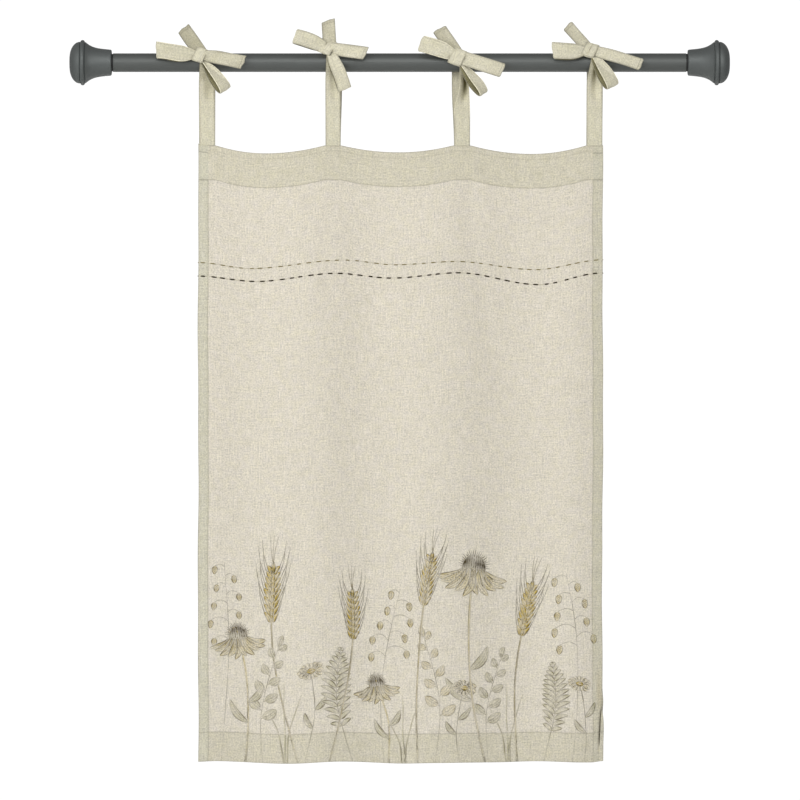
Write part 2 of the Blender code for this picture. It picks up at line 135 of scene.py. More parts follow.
@dataclass
class Patch:
    """Points in millimetres, the faces between them, and what each point tells the finish.

    The place is that on the cloth, the painted shade is what the linen's colour is multiplied by to paint in
    shade and a few highlights, the ink is a colour and its amount, and the hatch is the distance across and
    along a drawn shape and how strong its lines are.
    """

    points: Array
    faces: list[Array]
    place: Array
    tint: Array
    ink: Array
    hatch: Array

    @classmethod
    def of_grid(cls, points: Array, place: Array, tint: Array = 1.0, ink: Array = 0.0,
                hatch: Array = 0.0) -> "Patch":
        """A surface from a grid of points, which faces the side where rows run down and columns run right."""
        rows, columns = points.shape[:2]
        first = (np.arange(rows - 1)[:, None] * columns + np.arange(columns - 1)).ravel()
        faces = np.stack([first, first + columns, first + columns + 1, first + 1], axis=-1)
        told = ((points, 3), (place, 2), (tint, 3), (ink, 4), (hatch, 3))
        flat = [np.broadcast_to(values, (rows, columns, size)).reshape(-1, size) for values, size in told]
        return cls(flat[0], [faces], *flat[1:])

    @classmethod
    def of_rings(cls, rings: Array, poles: Array) -> "Patch":
        """Closed shapes, each a row of rings between two poles.

        Args:
            rings: Points by shape, ring and side.
            poles: The first and last pole of each shape.

        Returns:
            All the shapes as one surface.
        """
        count, steps, sides = rings.shape[:3]
        each = steps * sides + 2
        near = np.arange(sides)
        turn = np.roll(near, -1)
        start = np.arange(steps - 1)[:, None] * sides
        walls = np.stack([start + near, start + turn, start + sides + turn, start + sides + near], axis=-1)
        last = (steps - 1) * sides
        caps = [(turn, near, 0 * near + each - 2), (near + last, turn + last, 0 * near + each - 1)]
        caps = np.concatenate([np.stack(cap, axis=-1) for cap in caps])
        offsets = (np.arange(count) * each)[:, None, None]
        faces = [(walls.reshape(-1, 4) + offsets).reshape(-1, 4), (caps + offsets).reshape(-1, 3)]
        points = np.concatenate([rings.reshape(count, -1, 3), poles], axis=1).reshape(-1, 3)
        blank = np.zeros((count * each, 4))
        return cls(points, faces, points[:, [0, 2]], blank[:, :3] + 1, blank, blank[:, :3])

    @classmethod
    def joined(cls, patches: list["Patch"]) -> "Patch":
        """Several surfaces as one, with their points kept apart."""
        starts = np.cumsum([0] + [len(patch.points) for patch in patches])
        faces = [block + start for patch, start in zip(patches, starts) for block in patch.faces]
        keys = ("points", "place", "tint", "ink", "hatch")
        stacked = [np.concatenate([getattr(patch, key) for patch in patches]) for key in keys]
        return cls(stacked[0], faces, *stacked[1:])

    def make(self, name: str, material: Material, slot: str) -> Piece:
        """The surface as a piece of the object, at the origin, that rides on its body.

        Args:
            name: The piece's name.
            material: Its finish.
            slot: Not used.

        Returns:
            The piece.
        """
        mesh = bpy.data.meshes.new(name)
        faces = [face for block in self.faces for face in block.tolist()]
        mesh.from_pydata((self.points * MM).tolist(), [], faces)
        corners = np.empty(len(mesh.loops), dtype=np.int32)
        mesh.loops.foreach_get("vertex_index", corners)
        layer = mesh.uv_layers.new(name="cloth")
        layer.data.foreach_set("uv", (self.place[corners] * MM).astype(np.float32).ravel())
        opaque = np.ones((len(self.points), 1))
        layers = {"tint": np.hstack([self.tint, opaque])}
        if self.ink.any():
            layers |= {"ink": self.ink, "hatch": np.hstack([self.hatch, opaque])}
        for key, values in layers.items():
            attribute = mesh.attributes.new(key, "FLOAT_COLOR", "POINT")
            attribute.data.foreach_set("color", values.astype(np.float32).ravel())
        mesh.polygons.foreach_set("use_smooth", np.ones(len(mesh.polygons), dtype=bool))
        mesh.materials.append(material)
        piece = placed(name, mesh)
        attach(piece, BODY)
        LOG.info("%s: %d points", name, len(self.points))
        return piece


def give_thickness(piece: Piece, thickness: float, offset: float, rounding: float) -> bpy.types.Modifier:
    """Makes cloth of a sheet, with softly rounded edges.

    Args:
        piece: The sheet.
        thickness: The cloth's thickness.
        offset: -1 to thicken behind the sheet, 0 to both sides.
        rounding: How far the edges are rounded.

    Returns:
        The modifier that thickens it.
    """
    solidify = piece.modifiers.new("thickness", "SOLIDIFY")
    solidify.thickness = thickness * MM
    solidify.offset = offset
    solidify.use_even_offset = True
    bevel = piece.modifiers.new("soft edges", "BEVEL")
    bevel.width = rounding * MM
    bevel.segments = 2
    bevel.limit_method = "ANGLE"
    bevel.angle_limit = math.radians(62)
    return solidify


class Recipe:
    """Adds the nodes of one material or of the surroundings, and joins them."""

    def __init__(self, owner: bpy.types.ID) -> None:
        """Starts with the nodes that its owner has."""
        self.owner = owner
        owner.use_nodes = True
        self.tree = owner.node_tree

    def put(self, value: object, socket: Socket) -> None:
        """Joins a socket to an input, or sets the input to a value."""
        if isinstance(value, Socket):
            self.tree.links.new(value, socket)
        else:
            socket.default_value = value

    def node(self, kind: str, inputs: dict, **options: object) -> bpy.types.NodeOutputs:
        """Adds a node.

        Args:
            kind: Its type in Blender, without the words ShaderNode.
            inputs: Values or sockets for its inputs, by name or number.
            options: Its other settings.

        Returns:
            Its outputs.
        """
        made = self.tree.nodes.new("ShaderNode" + kind)
        for key, value in options.items():
            setattr(made, key, value)
        for key, value in inputs.items():
            self.put(value, made.inputs[key])
        return made.outputs

    def maths(self, operation: str, *values: object) -> Socket:
        """The result of one sum on numbers or sockets."""
        return self.node("Math", dict(enumerate(values)), operation=operation)[0]

    def wave(self, value: Socket, turn: float) -> Socket:
        """The sine of a value times a number."""
        return self.maths("SINE", self.maths("MULTIPLY", value, turn))

    def noise(self, place: Socket, scale: Colour, detail: float = 2.0) -> Socket:
        """Soft noise about a half, whose grains are as fine as the scale for each direction says."""
        spread = self.node("Mapping", {"Vector": place, "Scale": scale})[0]
        return self.node("TexNoise", {"Vector": spread, "Scale": 1.0, "Detail": detail})[0]

    def weighted(self, start: float, *pairs: tuple[Socket, float]) -> Socket:
        """A number plus each noise, less a half, times its weight."""
        total = start
        for socket, weight in pairs:
            total = self.maths("ADD", self.maths("MULTIPLY_ADD", socket, weight, -weight / 2), total)
        return total

    def times(self, colour: Socket, factor: object) -> Socket:
        """A colour multiplied by a colour."""
        return self.node("VectorMath", {0: colour, 1: factor}, operation="MULTIPLY")[0]

    def toned(self, colour: Colour, tone: Socket, blue_tone: Socket | None = None) -> Socket:
        """A colour multiplied by a tone, or by another tone in its blue."""
        return self.times(self.node("CombineXYZ", {0: tone, 1: tone, 2: blue_tone or tone})[0], colour)

    def inked(self, amount: Socket, colour: object) -> Socket:
        """White that takes on a colour by an amount, which is kept between 0 and 1."""
        share = self.node("Clamp", {0: amount})[0]
        return self.node("Mix", {0: share, 6: (1, 1, 1, 1), 7: colour}, data_type="RGBA")[2]

    def bump(self, height: Socket, strength: float, distance: float) -> Socket:
        """The surface's direction where a height roughens it."""
        return self.node("Bump", {"Strength": strength, "Distance": distance, "Height": height})[0]

    def finish(self, **sockets: object) -> Material:
        """Sets or joins the shader's own inputs, by name with _ for a space, and gives the material."""
        shader = self.tree.nodes["Principled BSDF"]
        for key, value in sockets.items():
            self.put(value, shader.inputs[key.replace("_", " ").title().replace("Ior", "IOR")])
        return self.owner


@dataclass(frozen=True)
class LinenFinish:
    """Plain-woven natural linen: round threads over and under each other, with slubs along both ways."""

    name: str
    colour: Colour
    grain: float = 0.85
    printed: bool = False
    slubs: float = 0.4
    patches: float = 0.06
    warmth: float = 0.16
    thread_pitch: float = 0.8
    hatch_pitch: float = 3.3
    pencil: Colour = (0.16, 0.13, 0.07)

    def weave(self, recipe: Recipe, place: Socket) -> Socket:
        """The height of the upper thread at each place, from 0 to 1.

        The sines of the distance across and along, in thread pitches, have like signs where the warp lies on
        top and unlike signs where the weft does. The height is the size of the upper thread's sine.
        """
        axes = recipe.node("SeparateXYZ", {0: place})
        waves = [recipe.wave(axes[index], math.pi / self.thread_pitch / MM) for index in (0, 1)]
        warp_on_top = recipe.maths("GREATER_THAN", recipe.maths("MULTIPLY", *waves), 0.0)
        warp, weft = [recipe.maths("ABSOLUTE", wave) for wave in waves]
        return recipe.node("Mix", {0: warp_on_top, 2: weft, 3: warp}, data_type="FLOAT")[0]

    def print_ink(self, recipe: Recipe, place: Socket, threads: list[Socket]) -> Socket:
        """What the linen's colour is multiplied by where it is printed.

        The wash is the ink's colour, by its amount times one plus blots and the threads' noises. The hatching
        is a dark line wherever the sine of the distance across the drawn shape is high, broken up by noise.

        Args:
            recipe: The material's recipe.
            place: The place on the cloth.
            threads: The noises of the threads.

        Returns:
            The multiplier.
        """
        ink = recipe.node("Attribute", {}, attribute_name="ink")
        blots = (recipe.noise(place, (70, 70, 1), 3.0), 1.5)
        held = recipe.weighted(1.0, blots, *((thread, 0.8) for thread in threads))
        wash = recipe.inked(recipe.maths("MULTIPLY", ink["Alpha"], held), ink["Color"])
        hatch = recipe.node("Attribute", {}, attribute_name="hatch")["Vector"]
        marks = recipe.node("SeparateXYZ", {0: hatch})
        wander = recipe.weighted(0.0, (recipe.noise(place, (260, 260, 1)), 2.6))
        lines = recipe.wave(recipe.maths("ADD", marks[0], wander), FULL_TURN / self.hatch_pitch)
        breaks = recipe.weighted(-0.1, (recipe.noise(place, (330, 330, 1)), 3.2))
        drawn = recipe.maths("MULTIPLY", recipe.maths("ADD", lines, breaks), marks[2])
        return recipe.times(wash, recipe.inked(drawn, (*self.pencil, 1)))

    def material(self) -> Material:
        """The finish as a material.

        The colour is the linen's, times one plus the noises of warp slubs, weft slubs, grain and broad
        patches, times the painted shade of layers, edges, seams, rims and hollows. Ink takes part of it away,
        most on the upper threads.
        """
        recipe = Recipe(bpy.data.materials.new(self.name))
        place = recipe.node("UVMap", {}, uv_map="cloth")[0]
        scales = ((560, 46, 1), (46, 560, 1), (430, 430, 1), (30, 14, 1), (85, 85, 1))
        warp, weft, grain, patches, warmth = [recipe.noise(place, scale) for scale in scales]
        noises = ((warp, self.slubs), (weft, self.slubs * 0.8), (grain, self.grain), (patches, self.patches))
        tone = recipe.weighted(1.0, *noises)
        blue_tone = recipe.maths("MULTIPLY", tone, recipe.weighted(1.0, (warmth, self.warmth)))
        tint = recipe.node("Attribute", {}, attribute_name="tint")["Color"]
        colour = recipe.times(recipe.toned(self.colour, tone, blue_tone), tint)
        if self.printed:
            colour = recipe.times(colour, self.print_ink(recipe, place, [grain, warp, weft]))
        threads = self.weave(recipe, place)
        height = recipe.weighted(0.0, (threads, 1.0), (warp, 1.6), (weft, 1.6))
        return recipe.finish(
            base_color=colour, roughness=recipe.weighted(0.86, (threads, 0.08)), sheen_weight=0.12,
            normal=recipe.bump(height, 0.5, 0.00025), sheen_roughness=0.5, specular_ior_level=0.2,
        )


@dataclass(frozen=True)
class ThreadFinish:
    """Twisted sewing or embroidery thread, with turns that slant across it."""

    name: str
    colour: Colour
    twist_pitch: float = 0.9

    def material(self) -> Material:
        """The finish as a material: slanting bands by the sine of the place, over a mottled colour."""
        recipe = Recipe(bpy.data.materials.new(self.name))
        place = recipe.node("TexCoord", {})["Object"]
        parts = recipe.node("SeparateXYZ", {0: place})
        turns = recipe.wave(recipe.maths("ADD", parts[0], parts[2]), FULL_TURN / self.twist_pitch / MM)
        mottle = recipe.noise(place, (900, 900, 900))
        return recipe.finish(
            base_color=recipe.toned(self.colour, recipe.weighted(1.0, (mottle, 0.5), (turns, 0.1))),
            roughness=recipe.weighted(0.7, (mottle, 0.2)), normal=recipe.bump(turns, 0.6, 0.00012),
            sheen_weight=0.02, specular_ior_level=0.15,
        )


@dataclass(frozen=True)
class PaintFinish:
    """Satin paint on metal or plastic: a faint ripple, specks of tone, and gloss that varies a little."""

    name: str
    colour: Colour
    roughness: float
    ripple: float = 0.00003
    metal: float = 0.0

    def material(self) -> Material:
        """The finish as a material: noise of three sizes in colour, gloss and height."""
        recipe = Recipe(bpy.data.materials.new(self.name))
        place = recipe.node("TexCoord", {})["Object"]
        broad = recipe.noise(place, (30, 60, 60))
        fine = recipe.noise(place, (700, 700, 700), 3.0)
        specks = recipe.noise(place, (2500, 2500, 2500))
        tone = recipe.weighted(1.0, (broad, 0.12), (fine, 0.1), (specks, 0.06))
        height = recipe.weighted(0.0, (fine, 1.0), (specks, 0.4))
        return recipe.finish(
            base_color=recipe.toned(self.colour, tone),
            roughness=recipe.weighted(self.roughness, (broad, 0.1), (fine, 0.06)),
            normal=recipe.bump(height, 0.5, self.ripple), specular_ior_level=0.5, metallic=self.metal,
        )


LINEN = LinenFinish("natural linen", linear(219, 212, 196))
PRINTED_LINEN = LinenFinish("printed linen", LINEN.colour, printed=True)
TIE_LINEN = LinenFinish("tie linen", linear(213, 208, 185), 0.8)
# A darker, greener copy of the tie linen for the loops' inner shells: painted shade inside the loops.
TIE_INSIDE_SHADE = LinenFinish("tie linen, painted inside shade", linear(144, 138, 102), 0.8)
HEM_THREAD = ThreadFinish("hem thread", linear(196, 189, 164))
FLAX_THREAD = ThreadFinish("flax embroidery thread", linear(130, 120, 78), 1.4)
DARK_THREAD = ThreadFinish("dark embroidery thread", linear(48, 37, 19), 1.4)
ROD_PAINT = PaintFinish("rod paint", linear(90, 93, 91), 0.42, 0.00001, 0.45)
END_PAINT = PaintFinish("rod end paint", linear(92, 96, 95), 0.44, 0.00001, 0.4)
PLUG_PLASTIC = PaintFinish("plug plastic", linear(38, 38, 38), 0.6)
FLOOR_PAINT = PaintFinish("pale floor", (0.86, 0.86, 0.85), 0.8)


def surface_normals(surface: "Surface", across: Array, along: Array, step: float) -> Array:
    """The front direction of a surface: its way along crossed with its way across.

    Args:
        surface: The surface, as a function of across and along.
        across: Where it is read, across.
        along: Where it is read, along.
        step: The small distance between the two points that give each way.

    Returns:
        Directions of length 1.
    """
    over = surface(across + step, along) - surface(across - step, along)
    down = surface(across, along + step) - surface(across, along - step)
    return unit(np.cross(down, over))


@dataclass
class StitchSizes:
    """One kind of stitch: its pitch, its shown length, and its width and height as a flattened pill."""

    pitch: float = 3.1
    length: float = 2.4
    width: float = 0.42
    height: float = 0.34
    rings: int = 3
    sides: int = 6

    def pills(self, centres: Array, ways: Array, outs: Array, lengths: Array | None = None) -> Patch:
        """A pill at each centre, whose radius is the root of one less the fourth power of the way along.

        Args:
            centres: The stitches' middles.
            ways: Their directions.
            outs: The cloth's front directions there.
            lengths: Their lengths, where they vary.

        Returns:
            All the stitches.
        """
        ends = ways * ((self.length if lengths is None else lengths[:, None]) / 2)
        share = np.linspace(-1, 1, self.rings + 2)[1:-1, None, None]
        turn = np.linspace(0, FULL_TURN, self.sides, endpoint=False)[:, None]
        sideways = unit(np.cross(outs, ways))
        middle, reach, side, out = [values[:, None, None] for values in (centres, ends, sideways, outs)]
        round_it = side * (np.cos(turn) * self.width / 2) + out * (np.sin(turn) * self.height / 2)
        rings = middle + reach * share + np.sqrt(1 - share**4) * round_it
        return Patch.of_rings(rings, np.stack([centres - ends, centres + ends], axis=1))

    def along_line(self, points: Array, outs: Array) -> Patch:
        """Even stitches along a line of close points on the cloth, with its front directions there."""
        lengths = run_length(points)
        middles = np.arange(0.5 * self.pitch, lengths[-1] - 0.4 * self.pitch, self.pitch)
        before = read_line(middles - self.length / 2, lengths, points)
        after = read_line(middles + self.length / 2, lengths, points)
        middle_outs = unit(read_line(middles, lengths, outs))
        return self.pills(read_line(middles, lengths, points), unit(after - before), middle_outs)


@dataclass(frozen=True)
class Bay:
    """The top edge between two ties: its start and end, its lowest place, and its sag there."""

    start: float
    end: float
    lowest: float
    sag: float

    def hang(self, x: Array) -> Array:
        """How far the edge hangs down, as two half parabolas that meet at the lowest place."""
        share = (x - self.start) / (self.end - self.start)
        side = np.where(share < self.lowest, self.lowest, 1 - self.lowest)
        hang = self.sag * (1 - ((share - self.lowest) / side) ** 2)
        return np.maximum(0.0, hang) * (share > 0) * (share < 1)


@dataclass(frozen=True)
class Fold:
    """A soft fold: its place at the top and the bottom, half width, and depth at each, - to the viewer."""

    top: float
    bottom: float
    half_width: float
    depth_top: float
    depth_bottom: float

    def depth(self, x: Array, down: Array) -> Array:
        """The depth, a hump whose middle and height change down the cloth."""
        middle = blend(self.top, self.bottom, down)
        return blend(self.depth_top, self.depth_bottom, down) * hump((x - middle) / self.half_width)


@dataclass(frozen=True)
class Crease:
    """A soft trough, or a ridge where its depth is below 0, between two places on the cloth as cut."""

    across_start: float
    below_start: float
    across_end: float
    below_end: float
    half_width: float
    depth: float

    def relief(self, across: Array, below: Array) -> Array:
        """The depth, a hump across the crease's line that fades in and out along it."""
        share = (below - self.below_start) / (self.below_end - self.below_start)
        middle = blend(self.across_start, self.across_end, share)
        fade = smooth_step(share * 4) * smooth_step((1 - share) * 3)
        return self.depth * fade * hump((across - middle) / self.half_width)


FOLDS = [Fold(*sizes) for sizes in (
    (262, 266, 52, 4.5, 6.0), (362, 372, 50, -6.0, -8.0), (446, 462, 48, 5.5, 5.0),
    (560, 566, 56, -7.4, -9.4), (668, 680, 58, 7.4, 7.0), (764, 756, 42, -5.8, -9.8),
)]
BAYS = (Bay(219, 383, 0.46, 12.0), Bay(407, 576, 0.52, 10.5), Bay(601, 775, 0.53, 12.8))
CREASES = [Crease(*sizes) for sizes in (
    (60, 2, 66, 60, 9, 0.6), (122, 0, 118, 52, 11, -0.7), (330, 4, 322, 58, 9, 0.6),
    (478, 0, 488, 60, 7, 1.2), (396, 2, 452, 420, 13, 1.5), (404, 30, 398, 300, 9, 0.8),
    (196, 40, 186, 330, 12, 0.7),
    (205, 60, 232, 380, 10, -0.5), (150, 300, 158, 760, 13, 0.7), (470, 420, 438, 800, 14, 0.9),
    (330, 380, 342, 760, 12, -0.7), (585, 120, 583, 700, 8, 0.7), (30, 150, 34, 620, 12, -0.6),
)]


@dataclass
class ClothPanel:
    """The curtain's cloth, turned under at all four sides, with its hem stitches."""

    left: float = 192.7
    width: float = 607.0
    top: float = -124.0
    drop: float = 925.0
    cloth: float = 0.7
    hemmed_cloth: float = 1.5
    side_hem: float = 15.0
    heading: float = 51.8
    bottom_hem: float = 44.0
    top_stitch: float = 8.5
    foot_box: float = 11.6
    sag_reach: float = 0.55
    heading_stiffness: float = 0.35
    heading_reach: float = 0.12
    corner_rise: float = 2.6
    grid_step: float = 5.0
    seam_half_width: float = 0.7
    seam_depth: float = 0.22
    stitch_lift: float = 0.04
    groove_depth: float = 4.2
    groove_half_width: float = 0.85
    groove_middle: float = -1000.0
    groove_half_length: float = 36.0
    # edge_shade is the strength of the painted shade along the cloth's edges.
    edge_shade: float = 0.42
    rise_places: tuple[float, ...] = (0, 25, 130, 215, 305, 356, 440, 515, 588, 607)
    rises: tuple[float, ...] = (0.3, 1.2, -2.2, 0.9, -2.0, -0.9, -0.4, 1.4, -0.3, 1.6)

    def from_side(self, across: Array) -> Array:
        """The distance from the nearer side edge."""
        return np.minimum(across, self.width - across)

    def from_roll(self, across: Array, z: Array) -> Array:
        """How far inwards a place lies from the slanting groove in the lower right edge."""
        return self.width - across - 0.9 - 5.5 * (1 - np.exp(-np.maximum(-970 - z, 0) / 14))

    def edge_roll(self, across: Array, z: Array) -> Array:
        """The depth of the slanting groove where the lower right edge rolls back and out again."""
        inwards = self.from_roll(across, z)
        section = hump(np.where(inwards > 0, inwards / 1.7, inwards) / self.groove_half_width)
        return self.groove_depth * section * hump((z - self.groove_middle) / self.groove_half_length)

    def roll_shade(self, across: Array, below: Array) -> Array:
        """The painted shade on the groove's bottom, where next to no light comes, and a painted brown shade
        above it, where the edge starts to roll back.
        """
        z = self.top - below
        inwards = self.from_roll(across, z)
        line = smooth_step((-964 - z) / 10) * smooth_step((z + 1030) / 14) * hump(inwards / 0.72)
        # Painted brown shade above the groove, where the edge starts to roll back.
        painted_fold_shade = hump((z + 945) / 28) * hump((inwards - 4.5) / 4)
        kept = 1 - line[..., None] * np.array([0.94, 0.95, 0.97])
        return kept * (1 - painted_fold_shade[..., None] * np.array([0.09, 0.13, 0.2]))

    def edge_drift(self, across: Array, below: Array) -> Array:
        """How far the side edges wander sideways: two slow waves each, which fade inwards, and a notch."""
        to_right = self.width - across
        left_wave = 0.5 * np.sin(below / 61) + 0.35 * np.sin(below / 27 + 1)
        right_wave = 0.5 * np.sin(below / 71 + 2) + 0.3 * np.sin(below / 23)
        right_wave -= 0.8 * smooth_step((below - 400) / 300) * (1 - smooth_step((below - 815) / 30))
        notch = 0.9 * hump((below - 874) / 16) - 1.3 * hump((below - 846) / 9)
        return hump(across / 40) * left_wave + hump(to_right / 40) * right_wave + notch * hump(to_right / 12)

    def surface(self, across: Array, below: Array) -> Array:
        """The cloth's front, from the place as cut.

        The height is the top edge less the distance below it and the bay's sag, which fades down the cloth,
        plus the wave of the bottom edge. The depth is the sum of folds, creases, seams, puckers and the
        edge's roll.

        Args:
            across: Distance from the left edge.
            below: Distance below the top edge.

        Returns:
            The points.
        """
        across, below = matched(across, below)
        down = below / self.drop
        x = self.left + across
        sag = sum(bay.hang(x) for bay in BAYS) * hump(down / self.sag_reach)
        sag -= self.corner_rise * hump(across / 12) * hump(below / 30)
        wave = level_curve(across, self.rise_places, self.rises) * smooth_step(down * 1.6 - 0.6)
        z = self.top - below - sag + wave
        stiff = 1 - (1 - self.heading_stiffness) * hump(down / self.heading_reach)
        y = sum(fold.depth(x, down) for fold in FOLDS) * stiff + self.edge_roll(across, z)
        y = y + sum(crease.relief(across, below) for crease in CREASES)
        y = y + self.seams(across, below) * self.seam_depth + self.puckers(across, below)
        return np.stack([x + self.edge_drift(across, below), y, z], axis=-1)

    def seams(self, across: Array, below: Array) -> Array:
        """Where the seams lie: 1 on a seam's line and 0 a little way off it."""
        inwards = self.from_side(across) - self.side_hem
        lines = (inwards, below - self.heading, self.drop - self.bottom_hem - below, below - self.top_stitch)
        side, head, foot, top = [hump(line / self.seam_half_width) for line in lines]
        return np.maximum.reduce([side * (below > self.heading - 1), head, foot, 0.45 * top * (inwards > -1)])

    def puckers(self, across: Array, below: Array) -> Array:
        """Small ripples where a seam draws the cloth up: a wave along each seam that fades away from it."""
        total = np.zeros_like(across)
        for height, along, pitch, slow, off, reach in (
            (0.16, below, 4.1, 37, self.from_side(across) - self.side_hem, 7),
            (0.22, across, 4.6, 41, below - self.heading, 9),
            (0.16, across, 5.2, 47, self.drop - self.bottom_hem - below, 7),
        ):
            total = total + height * np.sin(along / pitch + 2 * np.sin(along / slow)) * hump(off / reach)
        return total

    def outwards(self, across: Array, below: Array) -> Array:
        """The cloth's front direction."""
        return surface_normals(self.surface, across, below, 0.4)

    def raised(self, across: Array, below: Array, lift: Array) -> Array:
        """Points at a small height above the cloth's front."""
        across, below = matched(across, below)
        return self.surface(across, below) + self.outwards(across, below) * np.asarray(lift)[..., None]

    def layers(self, across: Array, below: Array) -> Array:
        """The painted shade of the cloth: hems and heading let less light through, so they are painted darker
        and greener; painted shade also lies beside the two inner ties, along the edges and in the groove at
        the lower right edge, and the seams are drawn as darker lines.

        Args:
            across: Distance from the left edge.
            below: Distance below the top edge.

        Returns:
            What the linen's colour is multiplied by.
        """
        left, right = across < self.side_hem, across > self.width - self.side_hem
        head, foot = below < self.heading, below > self.drop - self.bottom_hem
        tint = np.ones((*across.shape, 3))
        for inside, shade in (
            (left, (0.878, 0.903, 0.858)), (left & head, (0.86, 0.889, 0.84)),
            (right, (0.87, 0.885, 0.835)), (right & head, (0.85, 0.87, 0.82)),
            (head, (0.902, 0.909, 0.857)), (foot, (0.897, 0.902, 0.854)),
        ):
            tint = np.where(inside[..., None], np.minimum(tint, shade), tint)
        # Painted shade on the heading beside the two inner ties, where its folds turn from the light.
        for tie in TIES[1:3]:
            aside = across - (tie.left + tie.right) / 2 + self.left
            tint = tint * (1 - 0.02 * hump(aside / 40) * hump(below / 50))[..., None]
        # Painted shade: a thin darker line along every edge, where the folded edge turns from the light; the
        # seams and the places where the side hems cross them are drawn as darker lines.
        from_edge = np.minimum(self.from_side(across), np.minimum(below, self.drop - below))
        edge = self.edge_shade * hump(np.maximum(from_edge, 0) / 0.8)
        across_hem = hump((below - self.heading) / 0.9) + hump((below - self.foot_box) / 0.8)
        line = np.maximum.reduce([0.22 * self.seams(across, below), edge, 0.4 * (left | right) * across_hem])
        return tint * (1 - line[..., None]) * self.roll_shade(across, below)

    def stations(self, length: float, marks: tuple[float, ...], extra: tuple[float, ...] = ()) -> Array:
        """Distances along one side in rising order: even steps, with four close ones about each seam.

        Args:
            length: The side's length.
            marks: Where the seams lie.
            extra: More distances that are wanted.

        Returns:
            The distances.
        """
        close = np.array(marks)[:, None] + self.seam_half_width * np.array([-2, -0.5, 0.5, 2])
        rims = np.array([0.0, 0.5, 1.3])
        wanted = np.concatenate([close.ravel(), extra, rims, length - rims])
        even = np.linspace(0, length, round(length / self.grid_step) + 1)
        clear = np.min(np.abs(even[:, None] - wanted[None]), axis=1) > 0.3 * self.grid_step
        return np.unique(np.concatenate([even[clear], wanted]))

    def build_cloth(self) -> Piece:
        """The sheet on its grid of stations, thin in its middle and thicker in its hems."""
        near_roll = self.width - np.array([8.4, 7.0, 6.2, 5.6, 5.0, 4.4, 3.8, 3.2, 2.6, 1.95])
        columns = self.stations(self.width, (self.side_hem, self.width - self.side_hem), near_roll)
        seams = (self.top_stitch, self.foot_box, self.heading, self.drop - self.bottom_hem)
        rows = self.stations(self.drop, seams)
        below, across = np.meshgrid(rows, columns, indexing="ij")
        place = np.stack([across, below], axis=-1)
        patch = Patch.of_grid(self.surface(across, below), place, self.layers(across, below))
        cloth = patch.make("curtain_panel", LINEN.material(), "linen")
        solidify = give_thickness(cloth, self.hemmed_cloth, -1.0, 0.3)
        hems = cloth.vertex_groups.new(name="hems")
        single = self.from_side(across) > self.side_hem
        single &= (below > self.heading) & (below < self.drop - self.bottom_hem)
        hems.add(np.flatnonzero(~single.ravel()).tolist(), 1.0, "REPLACE")
        solidify.vertex_group = hems.name
        solidify.thickness_vertex_group = self.cloth / self.hemmed_cloth
        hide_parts("panel")
        return cloth

    def stitched(self, across: Array, below: Array, behind: bool) -> Patch:
        """Stitches along a line of places on the cloth, on its front or on its back."""
        across, below = matched(across, below)
        lift = -(self.hemmed_cloth + self.stitch_lift) if behind else self.stitch_lift
        return StitchSizes().along_line(self.raised(across, below, lift), self.outwards(across, below))

    def build_hem_stitches(self) -> Piece:
        """The sewn lines of hems and heading, and the box under each tie, on both sides of the cloth."""
        sideways = np.arange(2.0, self.width - 1.5, 1.5)
        downwards = np.arange(self.heading, self.drop - 1.5, 1.5)
        down_box = np.arange(1.5, self.foot_box + 0.4, 1.0)
        level = (self.heading - 0.6, self.drop - self.bottom_hem + 0.6, self.top_stitch)
        lines = [(sideways, below) for below in level]
        lines += [(across, downwards) for across in (self.side_hem - 0.6, self.width - self.side_hem + 0.6)]
        for tie in TIES:
            first = max(tie.left - self.left + 1.5, 2.0)
            last = min(tie.right - self.left - 1.5, self.width - 2.0)
            lines += [(np.arange(first, last, 1.0), below) for below in (1.6, self.foot_box)]
            lines += [(first, down_box), (last, down_box)]
        sewn = [self.stitched(*line, behind) for behind in (False, True) for line in lines]
        return Patch.joined(sewn).make("hem_stitches", HEM_THREAD.material(), "linen")


